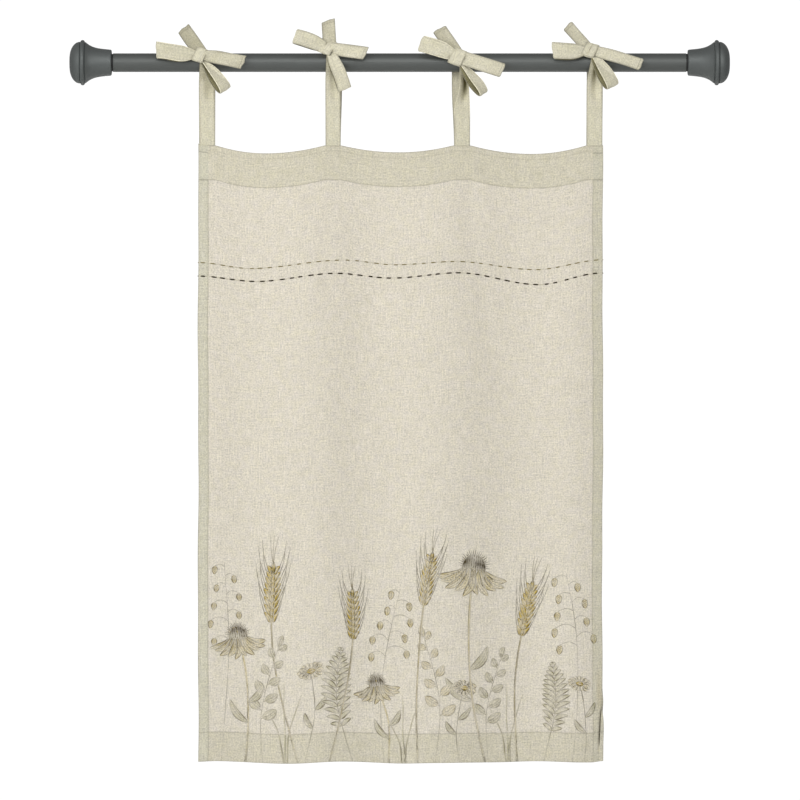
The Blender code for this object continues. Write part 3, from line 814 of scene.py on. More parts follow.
@dataclass
class RunningStitchRow:
    """A row of large hand stitches across the cloth, by its height at a few places along the photo's line."""

    name: str
    finish: ThreadFinish
    places: tuple[float, ...]
    heights: tuple[float, ...]
    sizes: StitchSizes
    seed: int
    panel: ClothPanel

    def below_at(self, across: Array) -> Array:
        """The distance below the top edge where the row lies, found by trying and correcting its height."""
        wanted = level_curve(across, self.places, self.heights)
        below = self.panel.top - wanted
        for _ in range(4):
            below = below + self.panel.surface(across, below)[..., 2] - wanted
        return below

    def build(self) -> Piece:
        """Uneven stitches on the front, others on the back in the gaps, and an end round each edge."""
        random = np.random.default_rng(self.seed)
        pitch, width = self.sizes.pitch, self.panel.width
        count = int(width / pitch) + 1
        middles = (np.arange(count) + 0.52 + random.uniform(-0.09, 0.09, count)) * pitch
        middles = middles[middles < width - 0.3 * pitch]
        lengths = self.sizes.length * random.uniform(0.82, 1.14, len(middles))
        front = self.laid(middles, lengths, 0.12 * self.sizes.height)
        spans = np.diff(middles) - (lengths[1:] + lengths[:-1]) / 2 + 1.0
        gaps = (middles[1:] + middles[:-1]) / 2
        back = self.laid(gaps, spans, -(self.panel.cloth + 0.1 * self.sizes.height))
        ends = self.laid(np.array([0.2, width - 0.2]), np.full(2, 2.6), -0.5 * self.panel.hemmed_cloth)
        return Patch.joined([front, back, ends]).make(self.name, self.finish.material(), "linen")

    def laid(self, middles: Array, lengths: Array, lift: float) -> Patch:
        """Stitches laid along the row.

        Args:
            middles: Distances of the stitches' middles from the left edge.
            lengths: Their lengths.
            lift: How far their middles lie above the cloth's front.

        Returns:
            The stitches.
        """
        below = self.below_at(middles)
        ends = [middles + side * lengths / 2 for side in (-1, 1)]
        before, after = [self.panel.surface(end, self.below_at(end)) for end in ends]
        points = self.panel.raised(middles, below, np.full(len(middles), lift))
        return self.sizes.pills(points, unit(after - before), self.panel.outwards(middles, below), lengths)


class Way(Enum):
    """Which side of the rod a strap passes."""

    FRONT = -1
    BACK = 1


class LimbKind(Enum):
    """The two kinds of strap end in a bow."""

    LOOP = "loop"
    TAIL = "tail"


@dataclass
class Tie:
    """One tie: where its straps stand on the heading, and where its knot lies on the rod."""

    name: str
    left: float
    right: float
    gather_x: float
    back_shift: float
    knot_x: float
    knot_angle: float
    knot_width: float
    knot_height: float
    knot_tilt: float
    ridge: float = -0.2
    twist: float = 0.0
    cup: float = 0.0
    # cup_shade, cup_from, cup_to, cup_middle and cup_spread place a painted shade in the front strap's hollow
    # below the knot; shade is a painted shade over the whole front strap.
    cup_shade: float = 0.15
    cup_from: float = 21.0
    cup_to: float = 78.0
    shade: float = 0.0
    cup_middle: float = 0.2
    cup_spread: float = 0.62
    narrow: float = 0.0
    widening: float = 50.0
    wraps: tuple[float, ...] = ()
    wrap_depth: float = 2.6
    knot_size: tuple[float, float, float] = (0.88, 0.9, 0.88)
    knot_shift: tuple[float, float] = (0.0, 0.0)
    knot_depth: float = 11.0
    knot_lean: float = 0.6
    back_radius: float = 14.9
    front_radius: float = 16.4
    seat_radius: float = 17.45

    def knot_frame(self) -> tuple[Array, float]:
        """The knot's middle, and how far it leans back to lie on the straps round the rod."""
        angle = math.radians(self.knot_angle)
        lean = self.knot_lean * angle
        radius = self.seat_radius / math.cos(angle - lean) + self.knot_depth / 2
        return np.array([self.knot_x, -radius * math.cos(angle), radius * math.sin(angle)]), lean


TIES = (
    Tie("tie_1", 194.2, 218.2, 202.5, 0.0, 195.5, 26, 21, 24, 25, ridge=0.1, cup=3.0, cup_shade=0.28,
        shade=0.02, knot_shift=(0.6, 0.0), wraps=(0.72,), wrap_depth=1.2, knot_size=(0.86, 0.86, 0.88)),
    Tie("tie_2", 383.8, 406.5, 392.0, 2.0, 387.0, 56, 23, 26, 32, ridge=-0.35, cup=3.0,
        knot_shift=(-1.8, 3.0), wraps=(0.2,), wrap_depth=0.4, knot_size=(1.16, 0.46, 0.95)),
    Tie("tie_3", 576.5, 600.5, 591.8, -3.2, 581.5, 18, 24, 28, 28, ridge=-0.9, twist=1.6, cup=9.5,
        cup_shade=0.85, cup_from=17, cup_to=70, shade=0.03, narrow=36, widening=46,
        knot_size=(0.92, 0.94, 0.86)),
    Tie("tie_4", 775.0, 799.0, 789.0, 1.0, 780.5, 47, 23, 25, 26, ridge=-0.25, cup=6.0, cup_shade=0.72,
        cup_from=12, cup_to=58, cup_middle=-0.1, cup_spread=0.42, wraps=(0.02,), wrap_depth=3.2,
        knot_size=(0.9, 0.96, 0.86)),
)


@dataclass
class StrapPiece:
    """A stretch of tie strap: a narrow double cloth with a sewn line beside each edge."""

    name: str
    tie: Tie
    flat_width: float
    thickness: float = 1.2
    steps: int = 64
    seam_from_edge: float = 1.9
    end_hem: float = 0.0
    held: str = "folded"
    # shade is a painted shade over the whole piece, where it turns from the light; shade_hue makes that
    # painted shade take more from blue than from red.
    shade: float = 0.0
    # inside is the darker linen of a loop's inner shell, which paints the shade inside it.
    inside: Material | None = None
    normal_step: float = 0.004
    shade_hue: tuple[float, float, float] = (1.0, 1.02, 1.15)
    stitch: StitchSizes = field(default_factory=lambda: StitchSizes(2.9, 2.2, 0.36, 0.26))

    def surface(self, across: Array, along: Array) -> Array:
        """The strap's middle layer, by the place from edge to edge, -1 to 1, and the share of its length."""
        raise NotImplementedError

    def outwards(self, across: Array, along: Array) -> Array:
        """The strap's front direction."""
        return surface_normals(self.surface, across, along, self.normal_step)

    def length(self) -> float:
        """The length of the strap's middle line."""
        return float(run_length(self.surface(np.zeros(200), np.linspace(0, 1, 200)))[-1])

    def seam_place(self) -> float:
        """Where the sewn line lies, in half widths from the middle."""
        return 1 - 2 * self.seam_from_edge / self.flat_width

    def rim_shade(self, along: Array) -> Array:
        """The painted shade on the strap's edges: how much darker they are than its faces."""
        return np.full(along.shape, 0.5)

    def depth_of_shade(self, across: Array, along: Array) -> Array:
        """The painted shade for the light that the strap loses by the way it faces and by what hangs over it.
        """
        return np.full(np.broadcast(across, along).shape, self.shade)

    def patch(self) -> Patch:
        """The strap's surface with a shallow groove and a darker line on each seam, and painted shade on its
        rims and hollows.
        """
        length = self.length()
        seam = self.seam_place()
        close = np.array([seam - 0.05, seam - 0.02, seam + 0.02, 0.5 * seam + 0.46, 0.935, 0.97, 1.0])
        columns = np.concatenate([-close[::-1], np.linspace(-0.72, 0.72, 11), close])
        along = np.linspace(0, 1, self.steps + 1)
        if self.end_hem:
            hem = 1 - self.end_hem / length
            beside = (hem - 0.012, hem, hem + 0.012, 1 - 1.3 / length, 1 - 0.5 / length, 1.0)
            along = np.unique(np.concatenate([along[along < beside[0]], beside]))
        along, across = np.meshgrid(along, columns, indexing="ij")
        line = hump((np.abs(across) - seam) / 0.03)
        rim = hump((1 - np.abs(across)) * self.flat_width / 2)
        if self.end_hem:
            line = np.maximum(line, 1.7 * hump(((along - 1) * length + self.end_hem) / 0.5))
            rim = np.maximum(rim, hump((1 - along) * length))
        points = self.surface(across, along)
        points = points - self.outwards(across, along) * (0.05 * line)[..., None]
        place = np.stack([(across + 1) / 2 * self.flat_width, along * length], axis=-1)
        shade = 0.2 * line * (1 - rim) + self.rim_shade(along) * rim
        depth = self.depth_of_shade(across, along)[..., None] * np.array(self.shade_hue)
        return Patch.of_grid(points, place, (1 - shade[..., None]) * (1 - depth))

    def stitches(self) -> list[Patch]:
        """The sewn line beside each edge, and across the end hem, on both faces."""
        lines = [(np.full(120, side * self.seam_place()), np.linspace(0.02, 0.985, 120)) for side in (-1, 1)]
        if self.end_hem:
            lines.append((np.linspace(-0.93, 0.93, 40), np.full(40, 1 - self.end_hem / self.length())))
        made = []
        for across, along in lines:
            outs = self.outwards(across, along)
            for side in (-1, 1):
                points = self.surface(across, along) + outs * side * (self.thickness / 2 + 0.02)
                made.append(self.stitch.along_line(points, outs * side))
        return made

    def build(self, material: Material, node: str, rests_on: str) -> Piece:
        """The strap as a piece of cloth that stands for a node.

        Args:
            material: Its finish.
            node: The node that it stands for.
            rests_on: Not used.

        Returns:
            The piece.
        """
        piece = self.patch().make(self.name, material, "tie_linen")
        solidify = give_thickness(piece, self.thickness, 0.0, 0.22)
        # A loop's inner shell takes the darker linen: painted shade inside the loop.
        if self.inside is not None:
            piece.data.materials.append(self.inside)
            solidify.material_offset = 1
        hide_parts(node)
        self.length() * MM
        return piece


@dataclass
class Strap(StrapPiece):
    """One leg of a tie, from the heading up to the back of its knot.

    Seen from the side it runs straight from the heading to the circle about the rod's axis, then along that
    circle. Its width gathers into the knot over the last stretch.
    """

    way: Way = Way.FRONT
    panel: ClothPanel | None = None
    gather: float = 14.0
    back_shade: float = 0.1
    shift_height: float = 95.0
    foot_depth: float = 0.8
    foot_gap: float = 0.9

    def side_path(self) -> Array:
        """The strap's line beside the rod as depth and height: a straight run and then an arc."""
        tie, front = self.tie, self.way is Way.FRONT
        foot = self.panel.surface((tie.left + tie.right) / 2 - self.panel.left, 0.0)
        aside = self.foot_gap + self.way.value * (self.thickness + GAP) / 2
        start = (foot[1] + aside, foot[2] + GAP - self.foot_depth)
        radius = tie.front_radius if front else tie.back_radius
        tangent = math.atan2(start[1], start[0]) + self.way.value * math.acos(radius / math.hypot(*start))
        end = math.pi - math.radians(tie.knot_angle) - (FULL_TURN if front else 0.0)
        angles = np.linspace(tangent, end, 60)
        arc = radius * np.stack([np.cos(angles), np.sin(angles)], axis=-1)
        straight = blend(np.array(start), arc[0], np.linspace(0, 1, 40, endpoint=False)[:, None])
        return np.concatenate([straight, arc])

    def surface(self, across: Array, along: Array) -> Array:
        """The strap's middle layer: its side path, with the width gathering smoothly towards the knot."""
        tie, front = self.tie, self.way is Way.FRONT
        path = self.side_path()
        lengths = run_length(path)
        total = lengths[-1]
        here = np.minimum(along, 1) * total
        y = np.interp(here, lengths, path[:, 0])
        z = np.interp(here, lengths, path[:, 1]) + np.minimum(along, 0) * total
        narrow, widening = (tie.narrow, tie.widening) if front else (0.0, 50.0)
        gathered = 1 - smooth_step((total - here - narrow) / widening)
        width = blend(tie.right - tie.left, self.gather, gathered)
        x = blend((tie.left + tie.right) / 2, tie.gather_x if front else tie.knot_x, gathered)
        if front:
            rise = gathered * smooth_step((total - here) / 10)
            hollow = smooth_step((78 - total + here) / 34) * smooth_step((total - here - 21) / 10)
            y = y - rise * (1.6 * hump((across - tie.ridge) / 0.42) + tie.twist * (1 - across) / 2)
            y = y + tie.cup * hollow * (hump((across - 0.12) / 0.5) - 0.25)
            wide = smooth_step(here / total * 2) * (1 - gathered)
            y = y - 0.5 * wide * np.sin(4.2 * across + 1.3 + here / 31)
        else:
            x = x + tie.back_shift * smooth_step(here / self.shift_height) * (1 - gathered)
        return np.stack([x + across * width / 2, y, z], axis=-1)

    def rim_shade(self, along: Array) -> Array:
        """The edges' painted shade, which turns to a painted highlight where the front strap is rolled up
        narrow below its knot.
        """
        narrowed = self.way is Way.FRONT and self.tie.narrow > 0
        return blend(0.5, -0.2, narrowed * smooth_step((98 - (1 - along) * self.length()) / 20))

    def depth_of_shade(self, across: Array, along: Array) -> Array:
        """The painted shade in the hollow below the knot, just under the knot and over the front strap, and
        on the back strap behind the rod.
        """
        if self.way is Way.BACK:
            return super().depth_of_shade(across, along) + self.back_shade
        tie = self.tie
        left = (1 - along) * self.length()
        deep = smooth_step((tie.cup_to - left) / 34) * smooth_step((left - tie.cup_from) / 10)
        cup = tie.cup_shade * deep * hump((across - tie.cup_middle) / tie.cup_spread)
        return np.maximum(cup, 0.3 * smooth_step((46 - left) / 22) + tie.shade)


@dataclass
class Knot(StrapPiece):
    """The strap that wraps the middle of a bow: a band with a flattened front, open at both sides."""

    shear: float = 0.17
    squareness: float = 0.42

    def surface(self, across: Array, along: Array) -> Array:
        """The band's middle layer: a rounded box section carried across the strap's width.

        The section's depth and height are the cosine and sine of the way round, raised to a power below 1.

        Args:
            across: The place from edge to edge of the band.
            along: The share of the way round, from the back over the top.

        Returns:
            The points.
        """
        tie = self.tie
        centre, lean = tie.knot_frame()
        wide, deep, high = tie.knot_size
        cosine, sine = np.cos(FULL_TURN * along), np.sin(FULL_TURN * along)
        boxed = [np.sign(wave) * np.abs(wave) ** self.squareness for wave in (cosine, sine)]
        depth = boxed[0] * (tie.knot_depth / 2 * deep - self.thickness / 2)
        height = boxed[1] * (tie.knot_height / 2 * high - self.thickness / 2)
        front = smooth_step(-cosine * 1.6)
        for place in tie.wraps:
            groove = hump((across - place - 0.18 * height / tie.knot_height) / 0.1)
            depth = depth + front * tie.wrap_depth * groove
        waves = 0.5 * np.sin(3.1 * across + 0.6) + 0.35 * np.sin(7 * across + 1 + height / 9)
        depth = depth - front * waves
        drawn_in = 1 - 0.05 * across**2
        local = np.stack([across * (tie.knot_width / 2 * wide), depth, height * drawn_in], axis=-1)
        tilted = turned_about(local, Y_AXIS, math.radians(tie.knot_tilt))
        tilted[..., 2] += self.shear * tilted[..., 0]
        shift = np.array([tie.knot_shift[0], 0.0, tie.knot_shift[1]])
        return turned_about(tilted, X_AXIS, -lean) + centre + shift


@dataclass
class Limb(StrapPiece):
    """A loop or a tail of a bow, from inside its knot to its tip."""

    kind: LimbKind = LimbKind.TAIL
    tip: tuple[float, float, float] = (0, 0, 0)
    neck: float = 16.0
    bulge: float = 0.0
    lean: float = 0.0
    curl: float = 0.0
    slant: float = 0.0
    start_shift: tuple[float, float, float] = (0.0, 0.0, 0.0)
    corners: float = 1.2
    ruffle: float = 0.5
    layer_shift: float = 0.0
    root: float = 5.0
    neck_length: float = 16.0
    root_gap: float = 1.1
    camber: float = 1.0
    pleat: float = 0.7
    clearance: float = 18.5

    def rim_shade(self, along: Array) -> Array:
        """The edges' painted shade: where a loop's back layer shows beside its front layer, its edges have a
        painted highlight.
        """
        behind = smooth_step((along - 0.5) / 0.06) * (self.kind is LimbKind.LOOP)
        return blend(0.5, -0.35 if self.layer_shift else 0.4, behind)

    def surface(self, across: Array, along: Array) -> Array:
        """The strap's middle layer.

        A loop runs out by the sine of half a turn and stands open by the sine of a whole one. A tail runs
        straight out and curls a little. Near the knot both narrow and lie in pleats. Both layers of a loop
        move away from the rod by what its nearer layer needs to clear the straps there.

        Args:
            across: The place from edge to edge.
            along: The share of the strap's length, from the knot and, in a loop, back to it.

        Returns:
            The points.
        """
        start = self.tie.knot_frame()[0] + np.array(self.start_shift)
        reach = np.array(self.tip) - start
        length = float(np.linalg.norm(reach))
        ahead = reach / length
        wide = turned_about(unit(np.array([ahead[2], 0.0, -ahead[0]])), ahead, math.radians(self.lean))
        face = np.cross(ahead, wide)
        across, along = matched(across, along)
        width = self.flat_width
        if self.kind is LimbKind.LOOP:
            root = math.asin(self.root / length) / math.pi
            share = root + (1 - 2 * root) * along
            out = length * np.sin(math.pi * share)
            lift = self.bulge * np.sin(FULL_TURN * share) + self.root_gap * np.cos(math.pi * share)
            bend = self.curl * np.sin(math.pi * out / length) + self.layer_shift * np.sin(FULL_TURN * share)
            camber = 0.0
        else:
            root = self.root / length
            share = root + (1 - root) * along
            out = length * share
            lift = self.curl * np.sin(math.pi * share)
            bend = 0.0
            camber = self.camber * (1 - across**2) * (1 - hump(out / self.neck_length))
        here = blend(width, self.neck, hump(out / self.neck_length))
        pleats = self.pleat * np.cos(4.4 * across + width) * hump((out - 8) / 14) * smooth_step(out / 10)
        waves = self.ruffle * np.sin(out / 8.5 + 2.2 * across + width) * smooth_step(out / 25)
        far = np.clip(out / length, 0, 1)
        out = out + self.slant * across * width * far**2 - self.corners * across**6 * far**6
        out = out + 0.5 * self.ruffle * np.sin(5.2 * across + width) * far**8
        point = start + ahead * out[..., None] + wide * (across * here / 2 + bend)[..., None]
        point = point + face * (camber - pleats - waves)[..., None]
        nearer = point + face * np.abs(lift)[..., None]
        above = np.maximum(nearer[..., 2], 0.0)
        radius = np.maximum(np.hypot(nearer[..., 1], above), 1e-6)
        short = np.maximum(self.clearance / radius - 1, 0.0)
        push = np.stack([np.zeros_like(above), nearer[..., 1] * short, above * short], axis=-1)
        return point + face * lift[..., None] + push


def tail(tip: tuple, width: float, neck: float, lean: float, curl: float, slant: float,
         **more: object) -> dict:
    """The sizes of a tail, whose strap ends at its tip in a narrow hem."""
    sizes = dict(kind=LimbKind.TAIL, tip=tip, flat_width=width, neck=neck, lean=lean, curl=curl, slant=slant)
    return sizes | dict(end_hem=4.5) | more


def loop(tip: tuple, width: float, neck: float, bulge: float, lean: float, curl: float, slant: float,
         **more: object) -> dict:
    """The sizes of a loop, whose strap goes out and comes back round its tip."""
    sizes = tail(tip, width, neck, lean, curl, slant)
    return sizes | dict(kind=LimbKind.LOOP, bulge=bulge, end_hem=0.0) | more


FORWARD = dict(start_shift=(0.0, -2.6, 0.8))
BEHIND = dict(start_shift=(2.0, 1.4, -5.0), neck_length=27)
LIMB_PLACES = ("upper_tail", "left_loop", "right_tail", "lower_loop")
# A limb's shade is a painted shade where it turns away from the light.
LIMBS = {
    "tie_1": (
        tail((171, -16, 51), 21.5, 20, 14, 1.5, 0.05, start_shift=(4.5, 1, 0), ruffle=0.9, shade=0.28),
        loop((131, -22, 18), 25, 10, 4.4, -9, -1.5, 0.08, corners=0.8, layer_shift=-1.1, shade=0.06),
        tail((262, -25, -1), 20.5, 14, -6, -2.0, -0.13, corners=0.8, ruffle=1.5, shade=0.09, **FORWARD),
        loop((234.5, -29, -43), 21, 8, 3.3, -36, -0.6, 0.02, corners=0.9, layer_shift=1.3, **BEHIND),
    ),
    "tie_2": (
        tail((388, -13, 63), 20, 20, 4, 2.0, 0.15, start_shift=(3.5, 0, 0), shade=0.12),
        loop((338, -20, 38.5), 23, 16, 2.8, 7, 1.5, 0.0),
        tail((445, -27, 12.5), 19.5, 18, 5, -1.5, -0.16, **FORWARD),
        loop((413, -28, -41.5), 20.5, 11, 2.4, -10, -2.0, 0.0, start_shift=(1.2, 1.0, -4.0)),
    ),
    "tie_3": (
        tail((554, -17, 50), 22, 20, 10, 1.5, -0.05, start_shift=(2.5, 0, 0), corners=1.6, shade=0.13),
        loop((526, -21, 28), 25, 15, 4.4, -11, 2.0, 0.0, corners=2.8, layer_shift=-0.9),
        tail((649.5, -28, -13.5), 22, 20, -6, -1.5, -0.06, corners=1.6, **FORWARD),
        loop((620.5, -30, -48), 17.5, 7, 3.1, -36, 0.5, 0.04, corners=0.6, layer_shift=1.6, **BEHIND),
    ),
    "tie_4": (
        tail((746, -16, 55), 18.5, 17, 16, 1.0, 0.05, corners=1.8, shade=0.08),
        loop((724, -22, 17), 25, 10, 4.0, 6, -2.0, 0.06),
        tail((857, -26, -4.5), 18.5, 16, -12, -3.0, -0.05, corners=2.0, **FORWARD),
        loop((813.5, -29, -37.5), 22, 8, 3.1, -32, -0.8, 0.02, corners=0.9, layer_shift=1.5,
             **(BEHIND | dict(neck_length=21))),
    ),
}


@dataclass
class TieAssembly:
    """All the cloth of one tie: its two straps, its knot, two loops and two tails, and their sewn lines."""

    tie: Tie
    panel: ClothPanel
    material: Material
    inside: Material
    thread: Material

    def straps(self) -> list[tuple[StrapPiece, str, str]]:
        """Every stretch of strap, with the node that it stands for and the piece that holds it."""
        tie, name = self.tie, self.tie.name
        shared = dict(tie=tie, panel=self.panel, flat_width=tie.right - tie.left, held="hung", steps=80)
        made: list[tuple[StrapPiece, str, str]] = []
        for way in Way:
            side = way.name.lower()
            made.append((Strap(f"{name}_{side}_strap", way=way, **shared), f"{name}_{side}", "rod_tube"))
        made.append((Knot(name + "_knot", tie, tie.knot_width, steps=72), name + "_bow", "rod_tube"))
        for place, sizes in zip(LIMB_PLACES, LIMBS[name]):
            # A loop gets the darker linen on its inner shell: painted shade inside the loop.
            inside = self.inside if sizes["kind"] is LimbKind.LOOP else None
            made.append((Limb(f"{name}_{place}", tie, inside=inside, **sizes), name + "_bow", name + "_knot"))
        return made

    def build(self) -> str:
        """Builds and dresses the tie, and gives the name of its front strap."""
        straps = self.straps()
        seams: list[Patch] = []
        for strap, node, held_by in straps:
            strap.build(self.material, node, held_by)
            seams += strap.stitches()
        Patch.joined(seams).make(self.tie.name + "_stitches", self.thread, "tie_linen")
        return straps[0][0].name


class Ink(Enum):
    """The print's inks, as linear colours that the linen's own is multiplied by."""

    OCHRE = linear(226, 203, 100)
    STRAW = linear(238, 226, 172)
    SAGE = linear(206, 206, 168)
    OLIVE = linear(158, 152, 104)
    SEPIA = linear(116, 104, 68)
    UMBER = linear(84, 74, 48)


OCHRE, STRAW, SAGE, OLIVE, SEPIA, UMBER = Ink


def spot(line: Array, share: float) -> tuple[Array, Array]:
    """A point at a share of a line's length, and the line's direction there."""
    place = share * (len(line) - 1)
    index = min(int(place), len(line) - 2)
    return blend(line[index], line[index + 1], place - index), unit(line[index + 1] - line[index])


def turned(way: Array, degrees: float) -> Array:
    """A direction on the cloth, turned to the left by an angle."""
    cosine, sine = math.cos(math.radians(degrees)), math.sin(math.radians(degrees))
    return np.array([way[0] * cosine - way[1] * sine, way[0] * sine + way[1] * cosine])


def arc(start: Array, end: Array, bend: float, steps: int = 8) -> Array:
    """A line from start to end that bows to its left by a share of its length."""
    share = np.linspace(0, 1, steps)[:, None]
    reach = end - start
    return start + reach * share + np.array([-reach[1], reach[0]]) * bend * np.sin(math.pi * share)


def stem(foot: float, top: float, height: float, bow: float) -> Array:
    """A stem's line: a straight way from foot to top that bows aside by a half sine."""
    share = np.linspace(0, 1, 34)
    across = blend(foot, top, share) + bow * np.sin(math.pi * share) + 0.7 * np.sin(9 * share + foot)
    return np.stack([across, blend(-0.5, height, share**0.96)], axis=-1)


@dataclass
class MeadowPrint:
    """A plain meadow print along the lower part of the cloth, in pencil lines and thin washes.

    Every shape is drawn in two lengths on the cloth, across and up from the bottom edge, and then laid just
    above the cloth's front. Ink fades to nothing at a shape's outer edge, so only the ink is seen.
    """

    panel: ClothPanel
    first_lift: float = 0.08
    lift_step: float = 0.0004
    lift_cycle: int = 400
    pen: float = 1.5
    margin: float = 1.2
    shows_through: float = 0.3
    patches: list[Patch] = field(default_factory=list)
    lifts: list[Array] = field(default_factory=list)

    def lay(self, points: Array, colour: Array, amount: Array, hatch: Array = 0.0) -> None:
        """Keeps one grid of inked places, which is laid on the cloth when all are drawn.

        Args:
            points: Distances across and above the bottom edge, by row and column.
            colour: The ink's colour at each.
            amount: How much ink there is, from 0 to 1.
            hatch: Distances across and along the shape, and how strongly it is hatched.
        """
        shape = points.shape[:2]
        lift = self.first_lift + self.lift_step * (len(self.patches) % self.lift_cycle)
        self.lifts.append(np.full(shape[0] * shape[1], lift))
        place = np.stack([points[..., 0], self.panel.drop - points[..., 1]], axis=-1)
        inked = np.concatenate([np.broadcast_to(colour, (*shape, 3)), amount[..., None]], axis=-1)
        self.patches.append(Patch.of_grid(np.zeros((*shape, 3)), place, 1.0, inked, hatch))

    def stroke(self, line: Array, width: float, ink: Ink, amount: float = 0.8, taper: float = 0.6,
               under: tuple[Ink, float] | None = None, fade: float = 0.0) -> None:
        """A drawn line: a ribbon with soft sides whose width and ink swell and thin along it.

        Args:
            line: Points of the line, across and up.
            width: Its width at the start.
            ink: Its ink.
            amount: How dark it is.
            taper: The share of the width that is lost by its end.
            under: The wash that it is drawn on, and how strong that is.
            fade: The share of its ink that it lacks at its start.
        """
        way = unit(np.gradient(line, axis=0))
        side = np.stack([-way[:, 1], way[:, 0]], axis=-1)
        share = np.linspace(0, 1, len(line))
        half = self.pen * width * (1 - taper * share**1.5) * (0.9 + 0.2 * np.sin(share * 11 + line[0, 1]))
        points = line[:, None] + side[:, None] * (half[:, None] * np.array([-1.0, 0.0, 1.0]))[..., None]
        swell = np.clip(amount * (1.05 + 0.25 * np.sin(share * 17 + line[0, 0])), 0, 1)
        swell = swell * (1 - fade * (1 - smooth_step(share / 0.5)))
        below, weight = under or (ink, 0.0)
        strength = np.stack([0 * swell + weight, swell, 0 * swell + weight], axis=-1)
        self.lay(points, np.array([below.value, ink.value, below.value]), strength)

    def blade(self, base: Array, tip: Array, width: float, fill: Ink, rim: Ink, bend: float, wash: float,
              line: float = 1.0, fullness: float = 1.0, rows: int = 8, hatch: float = 0.0,
              dome: bool = False) -> None:
        """A leaf, petal, grain or bud: a wash between two drawn lines that meet at its ends.

        Its half width is the sine of the way along, with the widest place moved by the fullness. A dome's
        half width is the root of one less the square of the way along.

        Args:
            base: Where it starts, across and up.
            tip: Where it ends.
            width: Its greatest width.
            fill: The wash.
            rim: The ink of its outline.
            bend: How far its middle is bent aside, as a share of its length.
            wash: How strong the wash is.
            line: How strong the outline is.
            fullness: Below 1 it is widest near its base, above 1 near its tip.
            rows: How many steps it has along.
            hatch: How strongly it is hatched along its length.
            dome: Whether it has a dome's outline.
        """
        share = np.linspace(0, 1, rows)
        reach = tip - base
        side = np.array([-reach[1], reach[0]])
        middle = base + reach * share[:, None] + side * (bend * np.sin(math.pi * share))[:, None]
        outline = np.sqrt(1 - share**2) if dome else np.sin(math.pi * share**fullness) ** 0.8
        half = width / 2 * outline + 0.15
        pen = np.minimum(1.05 / np.maximum(half, 1.2), 0.85)
        ones = np.ones(rows)
        over = np.stack([-1 - pen, -ones, pen - 1, 0 * pen, 1 - pen, ones, 1 + pen], axis=-1)
        points = middle[:, None] + unit(side) * (half[:, None] * over)[..., None]
        pressed = 0.8 + 0.3 * np.sin(share * 7 + base[0])[:, None]
        strength = np.array([0.0, line, wash, 0.55 * wash, 0.9 * wash, 0.8 * line, 0.0]) * pressed
        run = np.array([1.0, 1.0, 0.2, 0.0, 0.1, 1.0, 1.0])[:, None]
        drawn = hatch * np.array([0.0, 0.3, 1.0, 0.8, 0.35, 0.1, 0.0])
        along = share[:, None] * np.linalg.norm(reach)
        marks = np.stack(np.broadcast_arrays(half[:, None] * over, along, drawn), axis=-1)
        colour = blend(np.array(fill.value), np.array(rim.value), run)
        self.lay(points, colour, np.clip(strength, 0, 1), marks)

    def thin_stem(self, line: Array, width: float = 0.5, amount: float = 0.7, taper: float = 0.5) -> None:
        """A stem drawn with one pencil line that starts faint."""
        self.stroke(line, width, UMBER, amount, taper, fade=0.75)

    def double_stem(self, line: Array, width: float) -> None:
        """A stem drawn with two pencil lines that part and meet, and a pale wash between them."""
        self.stroke(line, width * 1.1, STRAW, 0.57, 0.2, fade=0.6)
        shift = np.array([width * 0.75, 0.0])
        self.stroke(line - shift, 0.5, UMBER, 0.95, 0.1, (STRAW, 0.19), 0.75)
        self.stroke(line + shift, 0.4, UMBER, 0.665, 0.1, (STRAW, 0.19), 0.75)

    def leaf(self, base: Array, way: Array, length: float, width: float, fill: Ink, bend: float,
             wash: float = 0.5, line: float = 0.9, veins: int = 5) -> None:
        """A leaf with a midrib and side veins.

        Args:
            base: Where it starts.
            way: Which way it grows.
            length: Its length.
            width: Its greatest width.
            fill: Its wash.
            bend: How far it is bent aside, as a share of its length.
            wash: How strong the wash is.
            line: How strong its lines are.
            veins: How many pairs of side veins it has.
        """
        tip = base + way * length
        self.blade(base, tip, width, fill, UMBER, bend, wash, line, 0.9, 12, 0.45)
        midrib = arc(base, base + way * length * 0.93, bend, 9)
        self.stroke(midrib, 0.4, UMBER, line * 0.8, 0.6, (fill, wash * 0.6))
        for index in range(veins):
            share = 0.2 + 0.6 * index / max(veins - 1, 1)
            rib, _ = spot(arc(base, tip, bend, 16), share)
            reach = width * 0.42 * math.sin(math.pi * share**0.9)
            for turn in (-1, 1):
                vein = arc(rib, rib + turned(way, turn * 42) * reach * 1.25, 0.08 * turn, 4)
                self.stroke(vein, 0.34, SEPIA, line * 0.55, 0.5, (fill, wash * 0.8))

